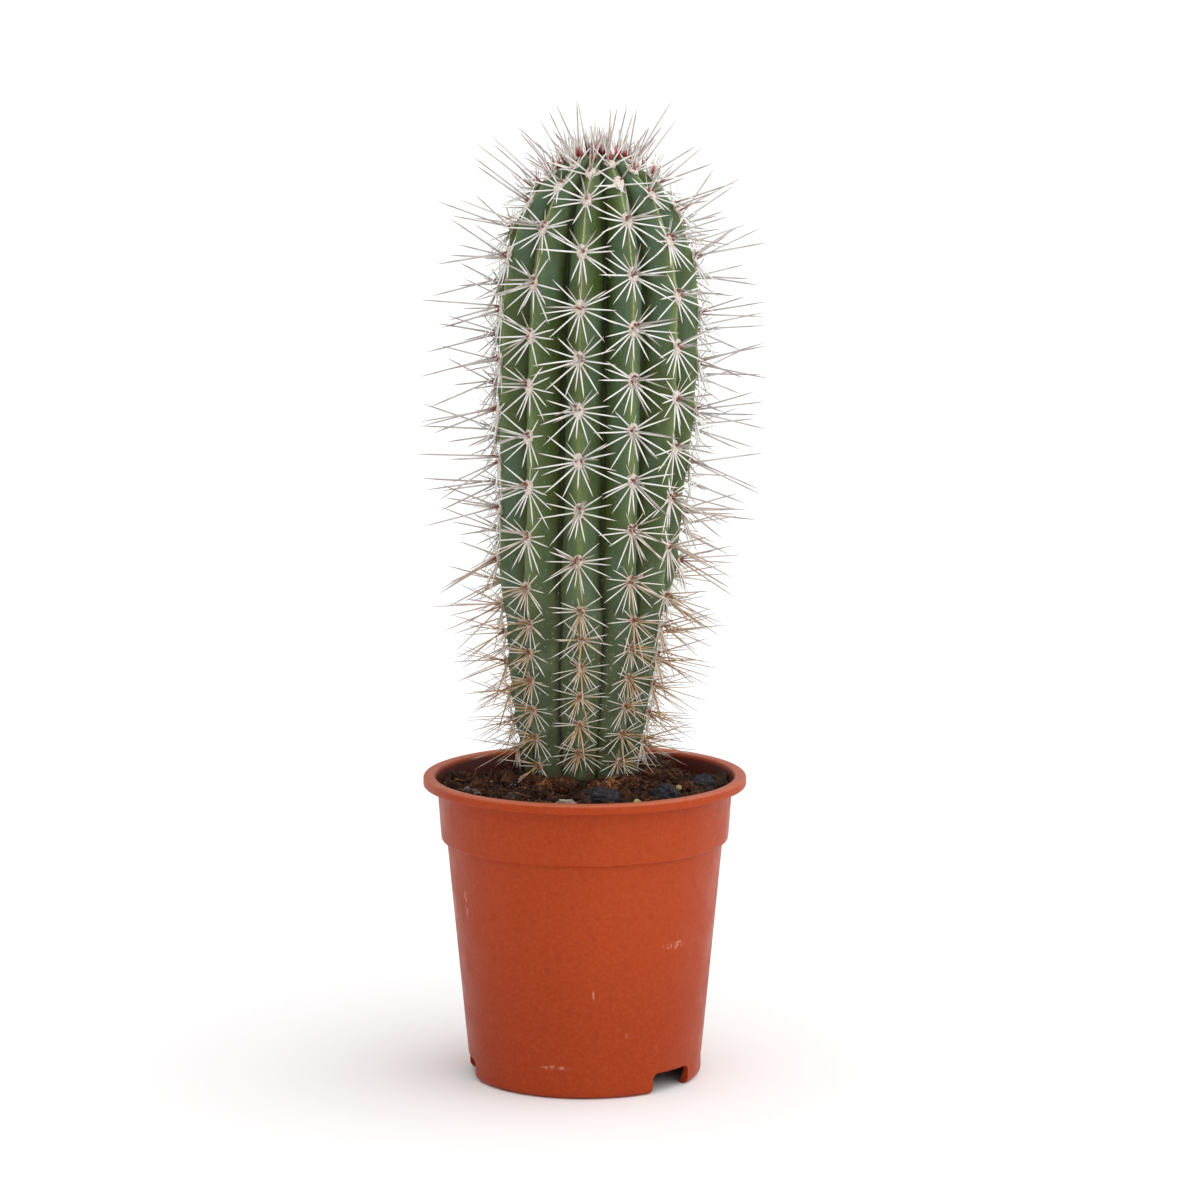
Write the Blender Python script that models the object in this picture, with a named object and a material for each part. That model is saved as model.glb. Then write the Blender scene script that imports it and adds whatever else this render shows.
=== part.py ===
"""Potted tall cactus: a ribbed column cactus in a round plastic nursery pot.

Metres, +Z up, -Y is the front and +X the right. The origin is on the ground, on the pot's axis.
Angles round the pot and round the stem are in degrees from the front, positive to the right.
"""
import random
from math import cos, hypot, pi, radians, sin

import bmesh
import bpy
import numpy as np
from mathutils import Matrix, Vector, noise

# Clearances
GAP = 0.0003                # between a piece and what carries it
SOIL_WALL_GAP = 0.0005      # the soil's facets turn a little against the pot's
SOIL_STEM_GAP = 0.0004

# Pot: thin moulded wall with a collar, an overhanging rim and a raised floor
POT_HEIGHT = 0.1605
POT_SEGMENTS = 48
RIM_RADIUS = 0.085
RIM_INNER_RADIUS = 0.0788
RIM_LIP = 0.005             # height of the lip's outer face
RIM_ROUND = 0.0012
COLLAR_TOP_RADIUS = 0.0776
COLLAR_FOOT_RADIUS = 0.0756
COLLAR_FOOT = 0.128         # height where the collar turns in to the body
STEP_HEIGHT = 0.1253
BODY_TOP_RADIUS = 0.0726
FOOT_RADIUS = 0.0615
FOOT_ROUND = 0.004
WALL = 0.0016
FLOOR_UNDERSIDE = 0.012
FLOOR_TOP = 0.014
FOOT_RING_INNER = 0.0555    # the flat ring that the pot stands on runs from here to its round edge
NOTCH_ANGLES = (48.6, -82.7, 163.0)
NOTCH_WIDTH = 0.028
NOTCH_HEIGHT = 0.011
DRAIN_HOLES = 6
DRAIN_RADIUS = 0.004
DRAIN_CIRCLE = 0.040

# Soil: fills the pot, with a mound round the stem and two hollows by the back wall
SOIL_AT_WALL = 0.1535
SOIL_AT_STEM = 0.163
HOLLOWS = (                 # x, y, radius, depth
    (-0.050, 0.036, 0.017, 0.009),
    (0.054, 0.034, 0.014, 0.007),
)

# Stem: twelve ribs, a waist low down, and a round crown
RIBS = 12
FIRST_RIB = -10.0
STEM_FOOT = 0.112
OUTLINE = (                 # height, radius over the rib crests
    (0.118, 0.0150),
    (0.136, 0.0245),
    (0.150, 0.0285),
    (0.163, 0.0300),
    (0.190, 0.0350),
    (0.220, 0.0392),
    (0.246, 0.0418),
    (0.262, 0.0458),
    (0.285, 0.0478),
    (0.307, 0.0482),
    (0.338, 0.0512),
    (0.370, 0.0527),
    (0.405, 0.0527),
)
CROWN_BASE = 0.405          # above this the outline is a quarter ellipse
CROWN_HEIGHT = 0.079
LEAN_BOTTOM = -0.002        # sideways place of the stem's axis at its foot and at its top
LEAN_TOP = 0.0074
LEAN_START, LEAN_END = 0.170, 0.430
GROOVE_DEPTH_LOW = 0.15     # groove depth over crest radius, near the soil and in the upper half
GROOVE_DEPTH_HIGH = 0.25
RIB_ROUNDNESS = 0.35
RIB_SPREAD = 21.0           # how far the ribs lean round, towards the back, near the soil
RIB_SPREAD_CENTRE = -34.0
RIB_SPREAD_STEPS = (         # heights between which half of it fades, sharply and then slowly
    (0.243, 0.270),
    (0.262, 0.390),
)
CREST_HALF = 0.09           # half width of a crest, in rib spacings
FLANK = 0.30                # where a flank has its edge loop, in rib spacings

# Areoles: spine cushions along each crest, each rib's set shifted against the next
AREOLES = 16
AREOLE_RUN = (              # areole number, distance along the stem's outline
    (-1, 0.163),
    (0, 0.178),
    (5, 0.254),
    (11, 0.411),
    (13, 0.468),
    (14, 0.486),
    (15, 0.4965),
    (16, 0.5025),
)
AREOLE_SHIFT = 5 / 12
AREOLE_HALF_HEIGHT = 0.004
CUSHION_MARGIN = 0.16       # of the areole's width
CUSHION_RISE = 0.0009

# Spines: one long one and three short ones on each areole
CENTRAL_SPINE = (0.028, 0.044)
LOW_CENTRAL_SPINE = (0.012, 0.017)
CROWN_SPINE = (0.026, 0.032)
SIDE_SPINE = 0.013
DOWN_SPINE = 0.015
LOW_ZONE = 0.235            # below this the spines are short
CROWN_ZONE = 0.470
SPINE_CLEARANCE = 0.004     # over the soil
TALLEST_TIP = 0.5128
REACH = 0.0896              # furthest tip sideways from REACH_CENTRE, which is an x
REACH_CENTRE = 0.0005
SPINE_SEED = 7

# Loose pieces on the soil: name, x, y, length, depth, height, turn, kind
LOOSE_PIECES = (
    ("clod_front", 0.010, -0.055, 0.020, 0.013, 0.010, 8, "clod"),
    ("clod_right_front", 0.042, -0.043, 0.014, 0.011, 0.010, 35, "clod"),
    ("clod_right", 0.062, -0.008, 0.015, 0.013, 0.010, 70, "clod"),
    ("clod_left_front", -0.037, -0.047, 0.012, 0.010, 0.008, -30, "clod"),
    ("clod_back_left", -0.018, 0.058, 0.015, 0.012, 0.009, 20, "clod"),
    ("clod_back_right", 0.034, 0.056, 0.012, 0.010, 0.008, -50, "clod"),
    ("wood_flake_front", -0.010, -0.062, 0.014, 0.006, 0.003, -6, "flake"),
    ("bark_flake_left", -0.060, -0.026, 0.015, 0.006, 0.003, -62, "flake"),
    ("bark_flake_back", 0.010, 0.066, 0.014, 0.007, 0.003, 10, "flake"),
    ("fibre_tuft_left", -0.020, -0.040, 0.012, 0.009, 0.007, 20, "tuft"),
    ("fibre_tuft_right", 0.013, -0.039, 0.013, 0.008, 0.007, -15, "tuft"),
    ("grit_grain_front", 0.027, -0.054, 0.0042, 0.0036, 0.0034, 15, "grain"),
    ("grit_grain_right", 0.049, -0.026, 0.0040, 0.0034, 0.0032, 40, "grain"),
    ("grit_grain_left", -0.050, -0.008, 0.0040, 0.0036, 0.0034, 70, "grain"),
)
SUNK = {"clod": 0.42, "flake": 0.40, "tuft": 0.45, "grain": 0.40}    # share of the height in the soil


def linear(red, green, blue):
    """A colour given in 0-255 display values, as the shader wants it."""
    return tuple((value / 255) ** 2.2 for value in (red, green, blue)) + (1.0,)


MATERIALS = {               # colour, roughness
    "terracotta_plastic": (linear(184, 76, 44), 0.45),
    "peat": (linear(62, 42, 30), 0.95),
    "cactus_skin": (linear(78, 112, 66), 0.55),
    "clod": (linear(48, 44, 46), 0.9),
    "flake": (linear(150, 132, 112), 0.85),
    "tuft": (linear(150, 98, 58), 0.9),
    "grain": (linear(196, 176, 116), 0.8),
}


def material(name):
    """The named Principled material, made once."""
    if name in bpy.data.materials:
        return bpy.data.materials[name]
    colour, roughness = MATERIALS[name]
    made = bpy.data.materials.new(name)
    made.use_nodes = True
    shader = made.node_tree.nodes["Principled BSDF"]
    shader.inputs["Base Color"].default_value = colour
    shader.inputs["Roughness"].default_value = roughness
    shader.inputs["Metallic"].default_value = 0.0
    return made


def make_object(name, mesh_builder, material_name, smooth_angle=35.0):
    """An object from a bmesh, shaded smooth except over sharp edges."""
    mesh = bpy.data.meshes.new(name)
    mesh_builder.to_mesh(mesh)
    mesh_builder.free()
    mesh.shade_smooth()
    mesh.set_sharp_from_angle(angle=radians(smooth_angle))
    made = bpy.data.objects.new(name, mesh)
    made.data.materials.append(material(material_name))
    bpy.context.collection.objects.link(made)
    return made


def cut(target, cutter):
    """Cuts the cutter's shape out of the target, and hides the cutter."""
    cutter.hide_render = True
    cutter.display_type = "WIRE"
    modifier = target.modifiers.new(cutter.name, "BOOLEAN")
    modifier.operation = "DIFFERENCE"
    modifier.solver = "EXACT"
    modifier.object = cutter


def smoothstep(low, high, value):
    part = min(max((value - low) / (high - low), 0.0), 1.0)
    return part * part * (3 - 2 * part)


def around(angle, radius, height=0.0):
    """The point at this angle from the front."""
    turn = radians(angle)
    return Vector((radius * sin(turn), -radius * cos(turn), height))


def skin(bm, rings, bottom_tip, top_tip):
    """A closed surface over rings of points, from a tip below to a tip above.

    Returns the quads as faces[row][column], the row running from one ring to the next.
    """
    loops = [[bm.verts.new(point) for point in ring] for ring in rings]
    count = len(loops[0])
    first, last = bm.verts.new(bottom_tip), bm.verts.new(top_tip)
    quads = []
    for low, high in zip(loops, loops[1:]):
        row = []
        for i in range(count):
            j = (i + 1) % count
            row.append(bm.faces.new((low[i], low[j], high[j], high[i])))
        quads.append(row)
    for i in range(count):
        j = (i + 1) % count
        bm.faces.new((first, loops[0][j], loops[0][i]))
        bm.faces.new((last, loops[-1][i], loops[-1][j]))
    return quads


# ---------------------------------------------------------------- pot

def pot_inside(shrink=0.0):
    """The inner wall from the floor to the rim, as radius and height, moved in by shrink."""
    floor_radius = FOOT_RADIUS - WALL
    wall = (
        (floor_radius - 0.002, FLOOR_TOP),
        (floor_radius, FLOOR_TOP + 0.002),
        (BODY_TOP_RADIUS - WALL, STEP_HEIGHT - WALL),
        (COLLAR_FOOT_RADIUS - WALL, COLLAR_FOOT),
        (COLLAR_TOP_RADIUS - WALL, POT_HEIGHT - RIM_LIP),
    )
    return [(radius - shrink, height) for radius, height in wall]


def pot_profile():
    """The wall's section, from the floor's top at the axis round to its underside at the axis."""
    inner_round = [(RIM_INNER_RADIUS - RIM_ROUND, POT_HEIGHT - RIM_ROUND)]
    outer_round = [
        (RIM_RADIUS - RIM_ROUND * (1 - sin(t)), POT_HEIGHT - RIM_ROUND * (1 - cos(t)))
        for t in (0, pi / 4, pi / 2)
    ]
    foot_round = [
        (FOOT_RADIUS - FOOT_ROUND * (1 - cos(t)), FOOT_ROUND * (1 - sin(t)))
        for t in (0, pi / 6, pi / 3, pi / 2)
    ]
    return (
        [(0.0, FLOOR_TOP)]
        + pot_inside()
        + inner_round
        + [(RIM_INNER_RADIUS, POT_HEIGHT)]
        + outer_round
        + [
            (RIM_RADIUS, POT_HEIGHT - RIM_LIP),
            (COLLAR_TOP_RADIUS, POT_HEIGHT - RIM_LIP),
            (COLLAR_FOOT_RADIUS, COLLAR_FOOT),
            (COLLAR_FOOT_RADIUS - 0.001, STEP_HEIGHT + 0.0006),
            (BODY_TOP_RADIUS, STEP_HEIGHT),
        ]
        + foot_round
        + [
            (FOOT_RING_INNER, 0.0),
            (FOOT_RADIUS - WALL - 0.0014, 0.007),
            (FOOT_RADIUS - WALL - 0.0006, FLOOR_UNDERSIDE),
            (0.0, FLOOR_UNDERSIDE),
        ]
    )


def turned(profile, segments):
    """A bmesh of the profile spun a full turn round Z."""
    bm = bmesh.new()
    points = [bm.verts.new((radius, 0, height)) for radius, height in profile]
    edges = [bm.edges.new(pair) for pair in zip(points, points[1:])]
    bmesh.ops.spin(bm, geom=points + edges, axis=(0, 0, 1), cent=(0, 0, 0),
                   angle=2 * pi, steps=segments, use_merge=True)
    bmesh.ops.remove_doubles(bm, verts=bm.verts, dist=1e-6)
    bmesh.ops.recalc_face_normals(bm, faces=bm.faces)
    return bm


def make_pot():
    pot = make_object("pot", turned(pot_profile(), POT_SEGMENTS), "terracotta_plastic")
    notches = bmesh.new()
    for angle in NOTCH_ANGLES:
        place = Matrix.Rotation(radians(angle), 4, "Z") @ Matrix.Translation((0, -FOOT_RADIUS, 0))
        size = Matrix.Diagonal((NOTCH_WIDTH, 0.016, 2 * NOTCH_HEIGHT, 1))
        bmesh.ops.create_cube(notches, size=1.0, matrix=place @ size)
    cut(pot, make_object("notch_cutter", notches, "terracotta_plastic"))
    drains = bmesh.new()
    middle = (FLOOR_TOP + FLOOR_UNDERSIDE) / 2
    for hole in range(DRAIN_HOLES):
        spot = Matrix.Translation(around(hole * 360 / DRAIN_HOLES, DRAIN_CIRCLE, middle))
        bmesh.ops.create_cone(drains, cap_ends=True, segments=16, radius1=DRAIN_RADIUS,
                              radius2=DRAIN_RADIUS, depth=0.008, matrix=spot)
    cut(pot, make_object("drain_cutter", drains, "terracotta_plastic"))
    return pot


# ---------------------------------------------------------------- stem

def crest_radius(height):
    heights, radii = zip(*OUTLINE)
    return float(np.interp(height, heights, radii))


def crown_table():
    """Distance run along the crown's ellipse against its angle, worked out once."""
    angles = np.linspace(0, pi / 2, 200)
    rise = CROWN_HEIGHT * np.sin(angles)
    reach = OUTLINE[-1][1] * np.cos(angles)
    steps = np.hypot(np.diff(rise), np.diff(reach))
    return angles, np.concatenate([[0.0], np.cumsum(steps)])


CROWN_ANGLES, CROWN_RUN = crown_table()
STEM_RUN = CROWN_BASE + float(CROWN_RUN[-1])


def outline_point(run):
    """Crest radius and height at this distance along the outline, which is the height below the crown."""
    if run <= CROWN_BASE:
        return crest_radius(run), run
    angle = float(np.interp(run - CROWN_BASE, CROWN_RUN, CROWN_ANGLES))
    return OUTLINE[-1][1] * cos(angle), CROWN_BASE + CROWN_HEIGHT * sin(angle)


def stem_axis(height):
    return Vector((LEAN_BOTTOM + (LEAN_TOP - LEAN_BOTTOM) * smoothstep(LEAN_START, LEAN_END, height), 0, height))


def rib_angle(rib, height):
    """Angle of a place counted in ribs: 0 is the first crest, 0.5 the groove to its right."""
    even = FIRST_RIB + rib * 360 / RIBS
    spread = 1 - sum(0.5 * smoothstep(start, end, height) for start, end in RIB_SPREAD_STEPS)
    return even + RIB_SPREAD * spread * sin(radians(even - RIB_SPREAD_CENTRE))


def stem_point(rib, run, clearance=0.0):
    """A point of the ribbed surface, at this place round the stem and this distance up its outline."""
    radius, height = outline_point(run)
    off_crest = 2 * abs(rib - round(rib))
    rounded = RIB_ROUNDNESS
    fall = (hypot(off_crest, rounded) - rounded) / (hypot(1, rounded) - rounded)
    share = smoothstep(0.19, 0.30, height)
    depth = GROOVE_DEPTH_LOW + (GROOVE_DEPTH_HIGH - GROOVE_DEPTH_LOW) * share
    spread = radius * (1 - depth * fall) + clearance
    return stem_axis(height) + around(rib_angle(rib, height), spread)


def stem_columns():
    """Places round the stem with an edge loop: both sides of each crest, both flanks and the groove."""
    offsets = (-FLANK, -CREST_HALF, CREST_HALF, FLANK, 0.5)
    return [rib + offset for rib in range(RIBS) for offset in offsets]


def areole_phase(rib):
    """How far up a rib's areoles sit, as a share of their pitch."""
    return (0.6 - AREOLE_SHIFT * (rib % RIBS)) % 1.0 - 0.6


def areole_run(number):
    numbers, runs = zip(*AREOLE_RUN)
    return float(np.interp(number, numbers, runs))


def areole_edges(rib, number):
    """Where an areole starts and ends along the outline."""
    place = number + areole_phase(rib)
    pitch = areole_run(place + 0.5) - areole_run(place - 0.5)
    half = min(AREOLE_HALF_HEIGHT, 0.21 * pitch)
    return areole_run(place) - half, areole_run(place) + half


def row_run(column, number, side):
    """Height of an edge loop that passes an areole's foot (side 0) or head (side 1)."""
    nearest = round(column)
    if abs(column - nearest) < 0.49:
        return areole_edges(nearest, number)[side]
    left = int(column)
    return (areole_edges(left, number)[side] + areole_edges(left + 1, number)[side]) / 2


def buried_runs():
    """Heights of the edge loops in the soil, shared by the stem's foot and its socket in the soil."""
    return [height for height, _ in OUTLINE if height <= SOIL_AT_STEM]


def local_axes(rib, run):
    """Outward, upward and sideways directions on a crest."""
    below, above = stem_point(rib, run - 0.001), stem_point(rib, run + 0.001)
    upward = (above - below).normalized()
    sideways = around(rib_angle(rib, outline_point(run)[1]) + 90, 1.0)
    outward = sideways.cross(upward).normalized()
    if outward.dot(around(rib_angle(rib, outline_point(run)[1]), 1.0) + Vector((0, 0, 0.5))) < 0:
        outward = -outward
    return outward, upward, sideways


def spine_plan(rib, run, pitch, dice):
    """Direction and length of the spines on the four sides of an areole: up, down, left and right."""
    outward, upward, sideways = local_axes(rib, run)
    radius, height = outline_point(run)
    room = 0.40 * radius * radians(360 / RIBS)
    side = min(SIDE_SPINE, room)
    down = min(DOWN_SPINE, 0.5 * pitch)
    if height < LOW_ZONE:
        central, tilt = dice.uniform(*LOW_CENTRAL_SPINE), 0.15
    elif height < CROWN_ZONE:
        central, tilt = dice.uniform(*CENTRAL_SPINE), dice.uniform(-0.1, 0.35)
    else:
        central, tilt = dice.uniform(*CROWN_SPINE), 0.0
    return {
        "up": (outward + tilt * upward, central),
        "down": (0.5 * outward - 0.9 * upward, down),
        "left": (0.6 * outward - 0.85 * sideways - 0.1 * upward, side),
        "right": (0.6 * outward + 0.85 * sideways - 0.1 * upward, side),
    }


def spine_tip(foot, direction, length):
    """The tip of a spine, kept over the soil and inside the plant's overall size."""
    direction = direction.normalized()
    if direction.z < 0:
        length = min(length, max(0.002, (foot.z - SOIL_AT_STEM - SPINE_CLEARANCE) / -direction.z))
    tip = foot + direction * length
    while hypot(tip.x - REACH_CENTRE, tip.y) > REACH or tip.z > TALLEST_TIP:
        length *= 0.99
        tip = foot + direction * length
    return tip


def grow_spines(bm, face, rib, run, pitch, dice):
    """Raises an areole's cushion and draws four spines out of it."""
    width = (face.verts[0].co - face.verts[1].co).length
    bmesh.ops.inset_individual(bm, faces=[face], thickness=CUSHION_MARGIN * width,
                               depth=min(CUSHION_RISE, 0.3 * width), use_even_offset=True)
    centre = bmesh.ops.poke(bm, faces=[face])["verts"][0]
    foot = centre.co.copy()
    _, upward, sideways = local_axes(rib, run)
    plan = spine_plan(rib, run, pitch, dice)
    for side in list(centre.link_faces):
        offset = side.calc_center_median() - foot
        high, wide = offset.dot(upward), offset.dot(sideways)
        if abs(high) > abs(wide):
            name = "up" if high > 0 else "down"
        else:
            name = "right" if wide > 0 else "left"
        direction, length = plan[name]
        base = side.calc_center_median()
        tip = bmesh.ops.poke(bm, faces=[side])["verts"][0]
        tip.co = spine_tip(base, direction, length)


def make_cactus():
    columns = stem_columns()
    rings = [[stem_point(column, run) for column in columns] for run in buried_runs()]
    first_areole_row = len(rings)
    for number in range(AREOLES):
        for side in (0, 1):
            rings.append([stem_point(column, row_run(column, number, side)) for column in columns])
    bm = bmesh.new()
    apex = stem_axis(CROWN_BASE + CROWN_HEIGHT)
    quads = skin(bm, rings, stem_axis(STEM_FOOT), apex)
    dice = random.Random(SPINE_SEED)
    crest_column = columns.index(-CREST_HALF)
    for number in range(AREOLES):
        row = quads[first_areole_row + 2 * number]
        for rib in range(RIBS):
            face = row[(crest_column + rib * len(columns) // RIBS) % len(columns)]
            place = number + areole_phase(rib)
            pitch = areole_run(place) - areole_run(place - 1)
            grow_spines(bm, face, rib, areole_run(place), pitch, dice)
    return make_object("cactus", bm, "cactus_skin")


# ---------------------------------------------------------------- soil

def soil_height(point):
    """Height of the soil's surface: a mound at the stem, hollows at the back, and a rough top."""
    reach = hypot(point.x, point.y)
    height = SOIL_AT_WALL + (SOIL_AT_STEM - SOIL_AT_WALL) * (1 - smoothstep(0.030, 0.076, reach))
    for x, y, radius, depth in HOLLOWS:
        height -= depth * (1 - smoothstep(0.2 * radius, radius, hypot(point.x - x, point.y - y)))
    rough = noise.noise(Vector((point.x, point.y, 0.3)) * 90) * 0.0012
    return height + rough * smoothstep(0.032, 0.042, reach)


def make_soil():
    """A plug that follows the pot's wall outside and the stem's foot inside."""
    columns = stem_columns()
    angles = [rib_angle(column, SOIL_AT_STEM) for column in columns]
    wall = pot_inside(SOIL_WALL_GAP)
    wall[0] = (wall[0][0], FLOOR_TOP + GAP)
    rings = [[around(angle, radius, height) for angle in angles] for radius, height in wall[:-1]]
    top_radius = float(np.interp(SOIL_AT_WALL, [h for _, h in wall], [r for r, _ in wall]))
    socket = [stem_point(column, SOIL_AT_STEM, SOIL_STEM_GAP) for column in columns]
    for share in (0.0, 0.14, 0.30, 0.46, 0.62, 0.80):
        ring = []
        for angle, inner in zip(angles, socket):
            point = around(angle, top_radius).lerp(inner, share)
            point.z = soil_height(point)
            ring.append(point)
        rings.append(ring)
    for run in reversed(buried_runs()):
        sunk = Vector((0, 0, GAP if run < SOIL_AT_STEM else 0))
        rings.append([stem_point(column, run, SOIL_STEM_GAP) - sunk for column in columns])
    bm = bmesh.new()
    floor_centre = Vector((0, 0, FLOOR_TOP + GAP))
    socket_foot = stem_axis(STEM_FOOT) - Vector((0, 0, 2 * GAP))
    skin(bm, rings, floor_centre, socket_foot)
    return make_object("soil", bm, "peat")


# ---------------------------------------------------------------- loose pieces

def rough_lump(bm, length, depth, height, seed, roughness):
    """A knobbly round piece."""
    bmesh.ops.create_icosphere(bm, subdivisions=2, radius=0.5)
    for vertex in bm.verts:
        push = 1 + roughness * noise.noise(vertex.co * 3.1 + Vector((seed, 0, 0)))
        vertex.co = Vector((vertex.co.x * length, vertex.co.y * depth, vertex.co.z * height)) * push


def thin_flake(bm, length, depth, height, seed):
    """A thin chip with an uneven outline."""
    bmesh.ops.create_circle(bm, cap_ends=True, segments=9, radius=0.5)
    for vertex in bm.verts:
        vertex.co *= 0.85 + 0.3 * noise.noise(vertex.co * 4 + Vector((seed, 0, 0)))
        vertex.co = Vector((vertex.co.x * length, vertex.co.y * depth, -height / 2))
    raised = bmesh.ops.extrude_face_region(bm, geom=list(bm.faces))["geom"]
    bmesh.ops.translate(bm, vec=(0, 0, height), verts=[v for v in raised if isinstance(v, bmesh.types.BMVert)])
    bmesh.ops.recalc_face_normals(bm, faces=bm.faces)


def loose_shape(index, swell=0.0):
    """The bmesh of a loose piece, placed in its bed. swell moves its surface out."""
    _, x, y, length, depth, height, turn, kind = LOOSE_PIECES[index]
    size = (length + 2 * swell, depth + 2 * swell, height + 2 * swell)
    bm = bmesh.new()
    if kind == "flake":
        thin_flake(bm, *size, index)
    else:
        rough_lump(bm, *size, index, 0.0 if kind == "grain" else 0.35)
    surface = soil_height(Vector((x, y, 0)))
    centre = surface + height * (0.5 - SUNK[kind])
    place = Matrix.Translation((x, y, centre)) @ Matrix.Rotation(radians(turn), 4, "Z")
    bmesh.ops.transform(bm, matrix=place, verts=bm.verts)
    return bm


def make_loose_pieces(soil):
    """Clods, flakes, tufts and grit, each in its own dent in the soil."""
    for index, piece in enumerate(LOOSE_PIECES):
        name, kind = piece[0], piece[-1]
        cut(soil, make_object(name + "_bed", loose_shape(index, swell=GAP + 0.0001), "peat"))
        make_object(name, loose_shape(index), kind)


def main():
    for old in list(bpy.data.objects):
        bpy.data.objects.remove(old)
    make_pot()
    make_cactus()
    make_loose_pieces(make_soil())


main()
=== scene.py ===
"""Potted tall cactus: the finished surfaces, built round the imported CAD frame.

Metres, +Z up, -Y is the front and +X the right. Angles are in degrees from the front, positive to
the right. A place round the stem is counted in ribs: 0 is the first crest, 0.5 the groove beside
it. A run is a distance along the stem's outline.
"""
import random
from math import atan2, cos, degrees, exp, floor, hypot, pi, radians, sin

import bmesh
import bpy
import numpy as np
from mathutils import Matrix, Vector, noise


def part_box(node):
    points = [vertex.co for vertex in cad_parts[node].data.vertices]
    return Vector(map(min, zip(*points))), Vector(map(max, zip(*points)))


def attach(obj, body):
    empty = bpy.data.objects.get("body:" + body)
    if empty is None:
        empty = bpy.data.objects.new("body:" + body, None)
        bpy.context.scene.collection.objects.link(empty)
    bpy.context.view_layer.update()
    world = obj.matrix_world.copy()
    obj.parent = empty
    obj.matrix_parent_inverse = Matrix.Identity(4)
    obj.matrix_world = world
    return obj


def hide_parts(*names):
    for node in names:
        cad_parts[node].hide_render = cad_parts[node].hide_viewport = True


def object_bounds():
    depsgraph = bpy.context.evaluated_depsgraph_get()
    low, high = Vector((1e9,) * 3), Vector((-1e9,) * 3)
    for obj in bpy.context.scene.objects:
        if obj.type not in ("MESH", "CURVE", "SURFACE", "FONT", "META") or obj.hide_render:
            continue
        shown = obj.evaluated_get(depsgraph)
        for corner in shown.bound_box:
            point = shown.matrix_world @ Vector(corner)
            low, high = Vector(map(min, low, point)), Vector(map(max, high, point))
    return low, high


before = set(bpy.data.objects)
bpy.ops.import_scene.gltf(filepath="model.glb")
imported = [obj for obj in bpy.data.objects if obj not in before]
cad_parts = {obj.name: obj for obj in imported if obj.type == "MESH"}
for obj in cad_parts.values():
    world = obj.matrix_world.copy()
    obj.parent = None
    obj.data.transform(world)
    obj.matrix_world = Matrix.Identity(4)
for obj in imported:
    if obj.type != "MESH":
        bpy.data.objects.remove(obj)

CAD_LOW, CAD_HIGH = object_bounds()
POT_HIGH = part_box("pot")[1]
SOIL_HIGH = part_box("soil")[1]
CACTUS_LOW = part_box("cactus")[0]

# ---- pot
POT_HEIGHT = POT_HIGH.z
RIM_RADIUS = POT_HIGH.x
POT_SEGMENTS = 192
RIM_INNER_RADIUS = RIM_RADIUS - 0.0062
RIM_LIP = 0.005
RIM_ROUND = 0.0013
COLLAR_TOP_RADIUS = RIM_RADIUS - 0.0074
COLLAR_FOOT_RADIUS = RIM_RADIUS - 0.0094
COLLAR_FOOT = 0.128
STEP_HEIGHT = 0.1253
BODY_TOP_RADIUS = 0.0726
FOOT_RADIUS = 0.0615
FOOT_ROUND = 0.004
FOOT_RING_INNER = 0.0555
WALL = 0.0016
FLOOR_UNDERSIDE = 0.012
FLOOR_TOP = 0.014
NOTCH_ANGLES = (48.6, -82.7, 163.0)
NOTCH_WIDTH = 0.028
NOTCH_HEIGHT = 0.011
NOTCH_DEPTH = 0.016
NOTCH_ROUND = 0.0035
DRAIN_HOLES = 6
DRAIN_RADIUS = 0.004
DRAIN_CIRCLE = 0.040
DRAIN_CUT = 0.008
# Below this depth the pot's inner wall is darkened as painted shade.
BRIGHT_MOUTH = 0.0030  # how far the rim's own colour reaches down inside

# ---- soil
SOIL_AT_STEM = SOIL_HIGH.z
SOIL_AT_WALL = SOIL_AT_STEM - 0.0095
SOIL_WALL_GAP = 0.0004
HOLLOWS = (  # x, y, radius, depth
    (-0.048, 0.040, 0.034, 0.014),
    (-0.055, 0.029, 0.019, 0.017),
    (0.050, 0.038, 0.030, 0.010),
    (0.056, 0.026, 0.017, 0.012),
)
RIDGES = (  # angle, half width in degrees, rise of soil pressed up the wall
    (-121.0, 8.0, 0.0150),
    (-104.0, 9.0, 0.0040),
    (128.0, 24.0, 0.0050),
    (158.0, 14.0, 0.0030),
)

# ---- stem
RIBS = 12
FIRST_RIB = -10.0
STEM_FOOT = CACTUS_LOW.z
OUTLINE = (  # height, radius over the rib crests
    (0.118, 0.0150),
    (0.136, 0.0245),
    (0.150, 0.0285),
    (0.163, 0.0300),
    (0.190, 0.0350),
    (0.220, 0.0392),
    (0.246, 0.0418),
    (0.262, 0.0458),
    (0.285, 0.0478),
    (0.307, 0.0482),
    (0.338, 0.0512),
    (0.370, 0.0527),
    (0.405, 0.0527),
)
CROWN_BASE = 0.405
CROWN_HEIGHT = 0.0815
LEAN_BOTTOM, LEAN_TOP = -0.002, 0.0074
LEAN_START, LEAN_END = 0.170, 0.430
GROOVE_DEPTH_LOW, GROOVE_DEPTH_HIGH = 0.16, 0.28
RIB_ROUNDNESS = 0.30
RIB_SPREAD = 21.0
RIB_SPREAD_CENTRE = -34.0
RIB_SPREAD_STEPS = (  # heights between which half of it fades, sharply and then slowly
    (0.243, 0.270),
    (0.262, 0.390),
)
STEM_COLUMNS_PER_RIB = 24
STEM_ROWS = 260

# ---- areoles
AREOLES = 17
AREOLE_RUN = (  # areole number, counted from the soil, and its run
    (-1, 0.163),
    (0, 0.178),
    (5, 0.254),
    (11, 0.411),
    (13, 0.468),
    (14, 0.4855),
    (15, 0.4990),
    (17, 0.5080),
)
AREOLE_SHIFT = 5 / 12
SWELLING = 0.0009  # how far a rib stands out at an areole
CREASE = 0.0005  # and how far it falls back just above


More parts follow.
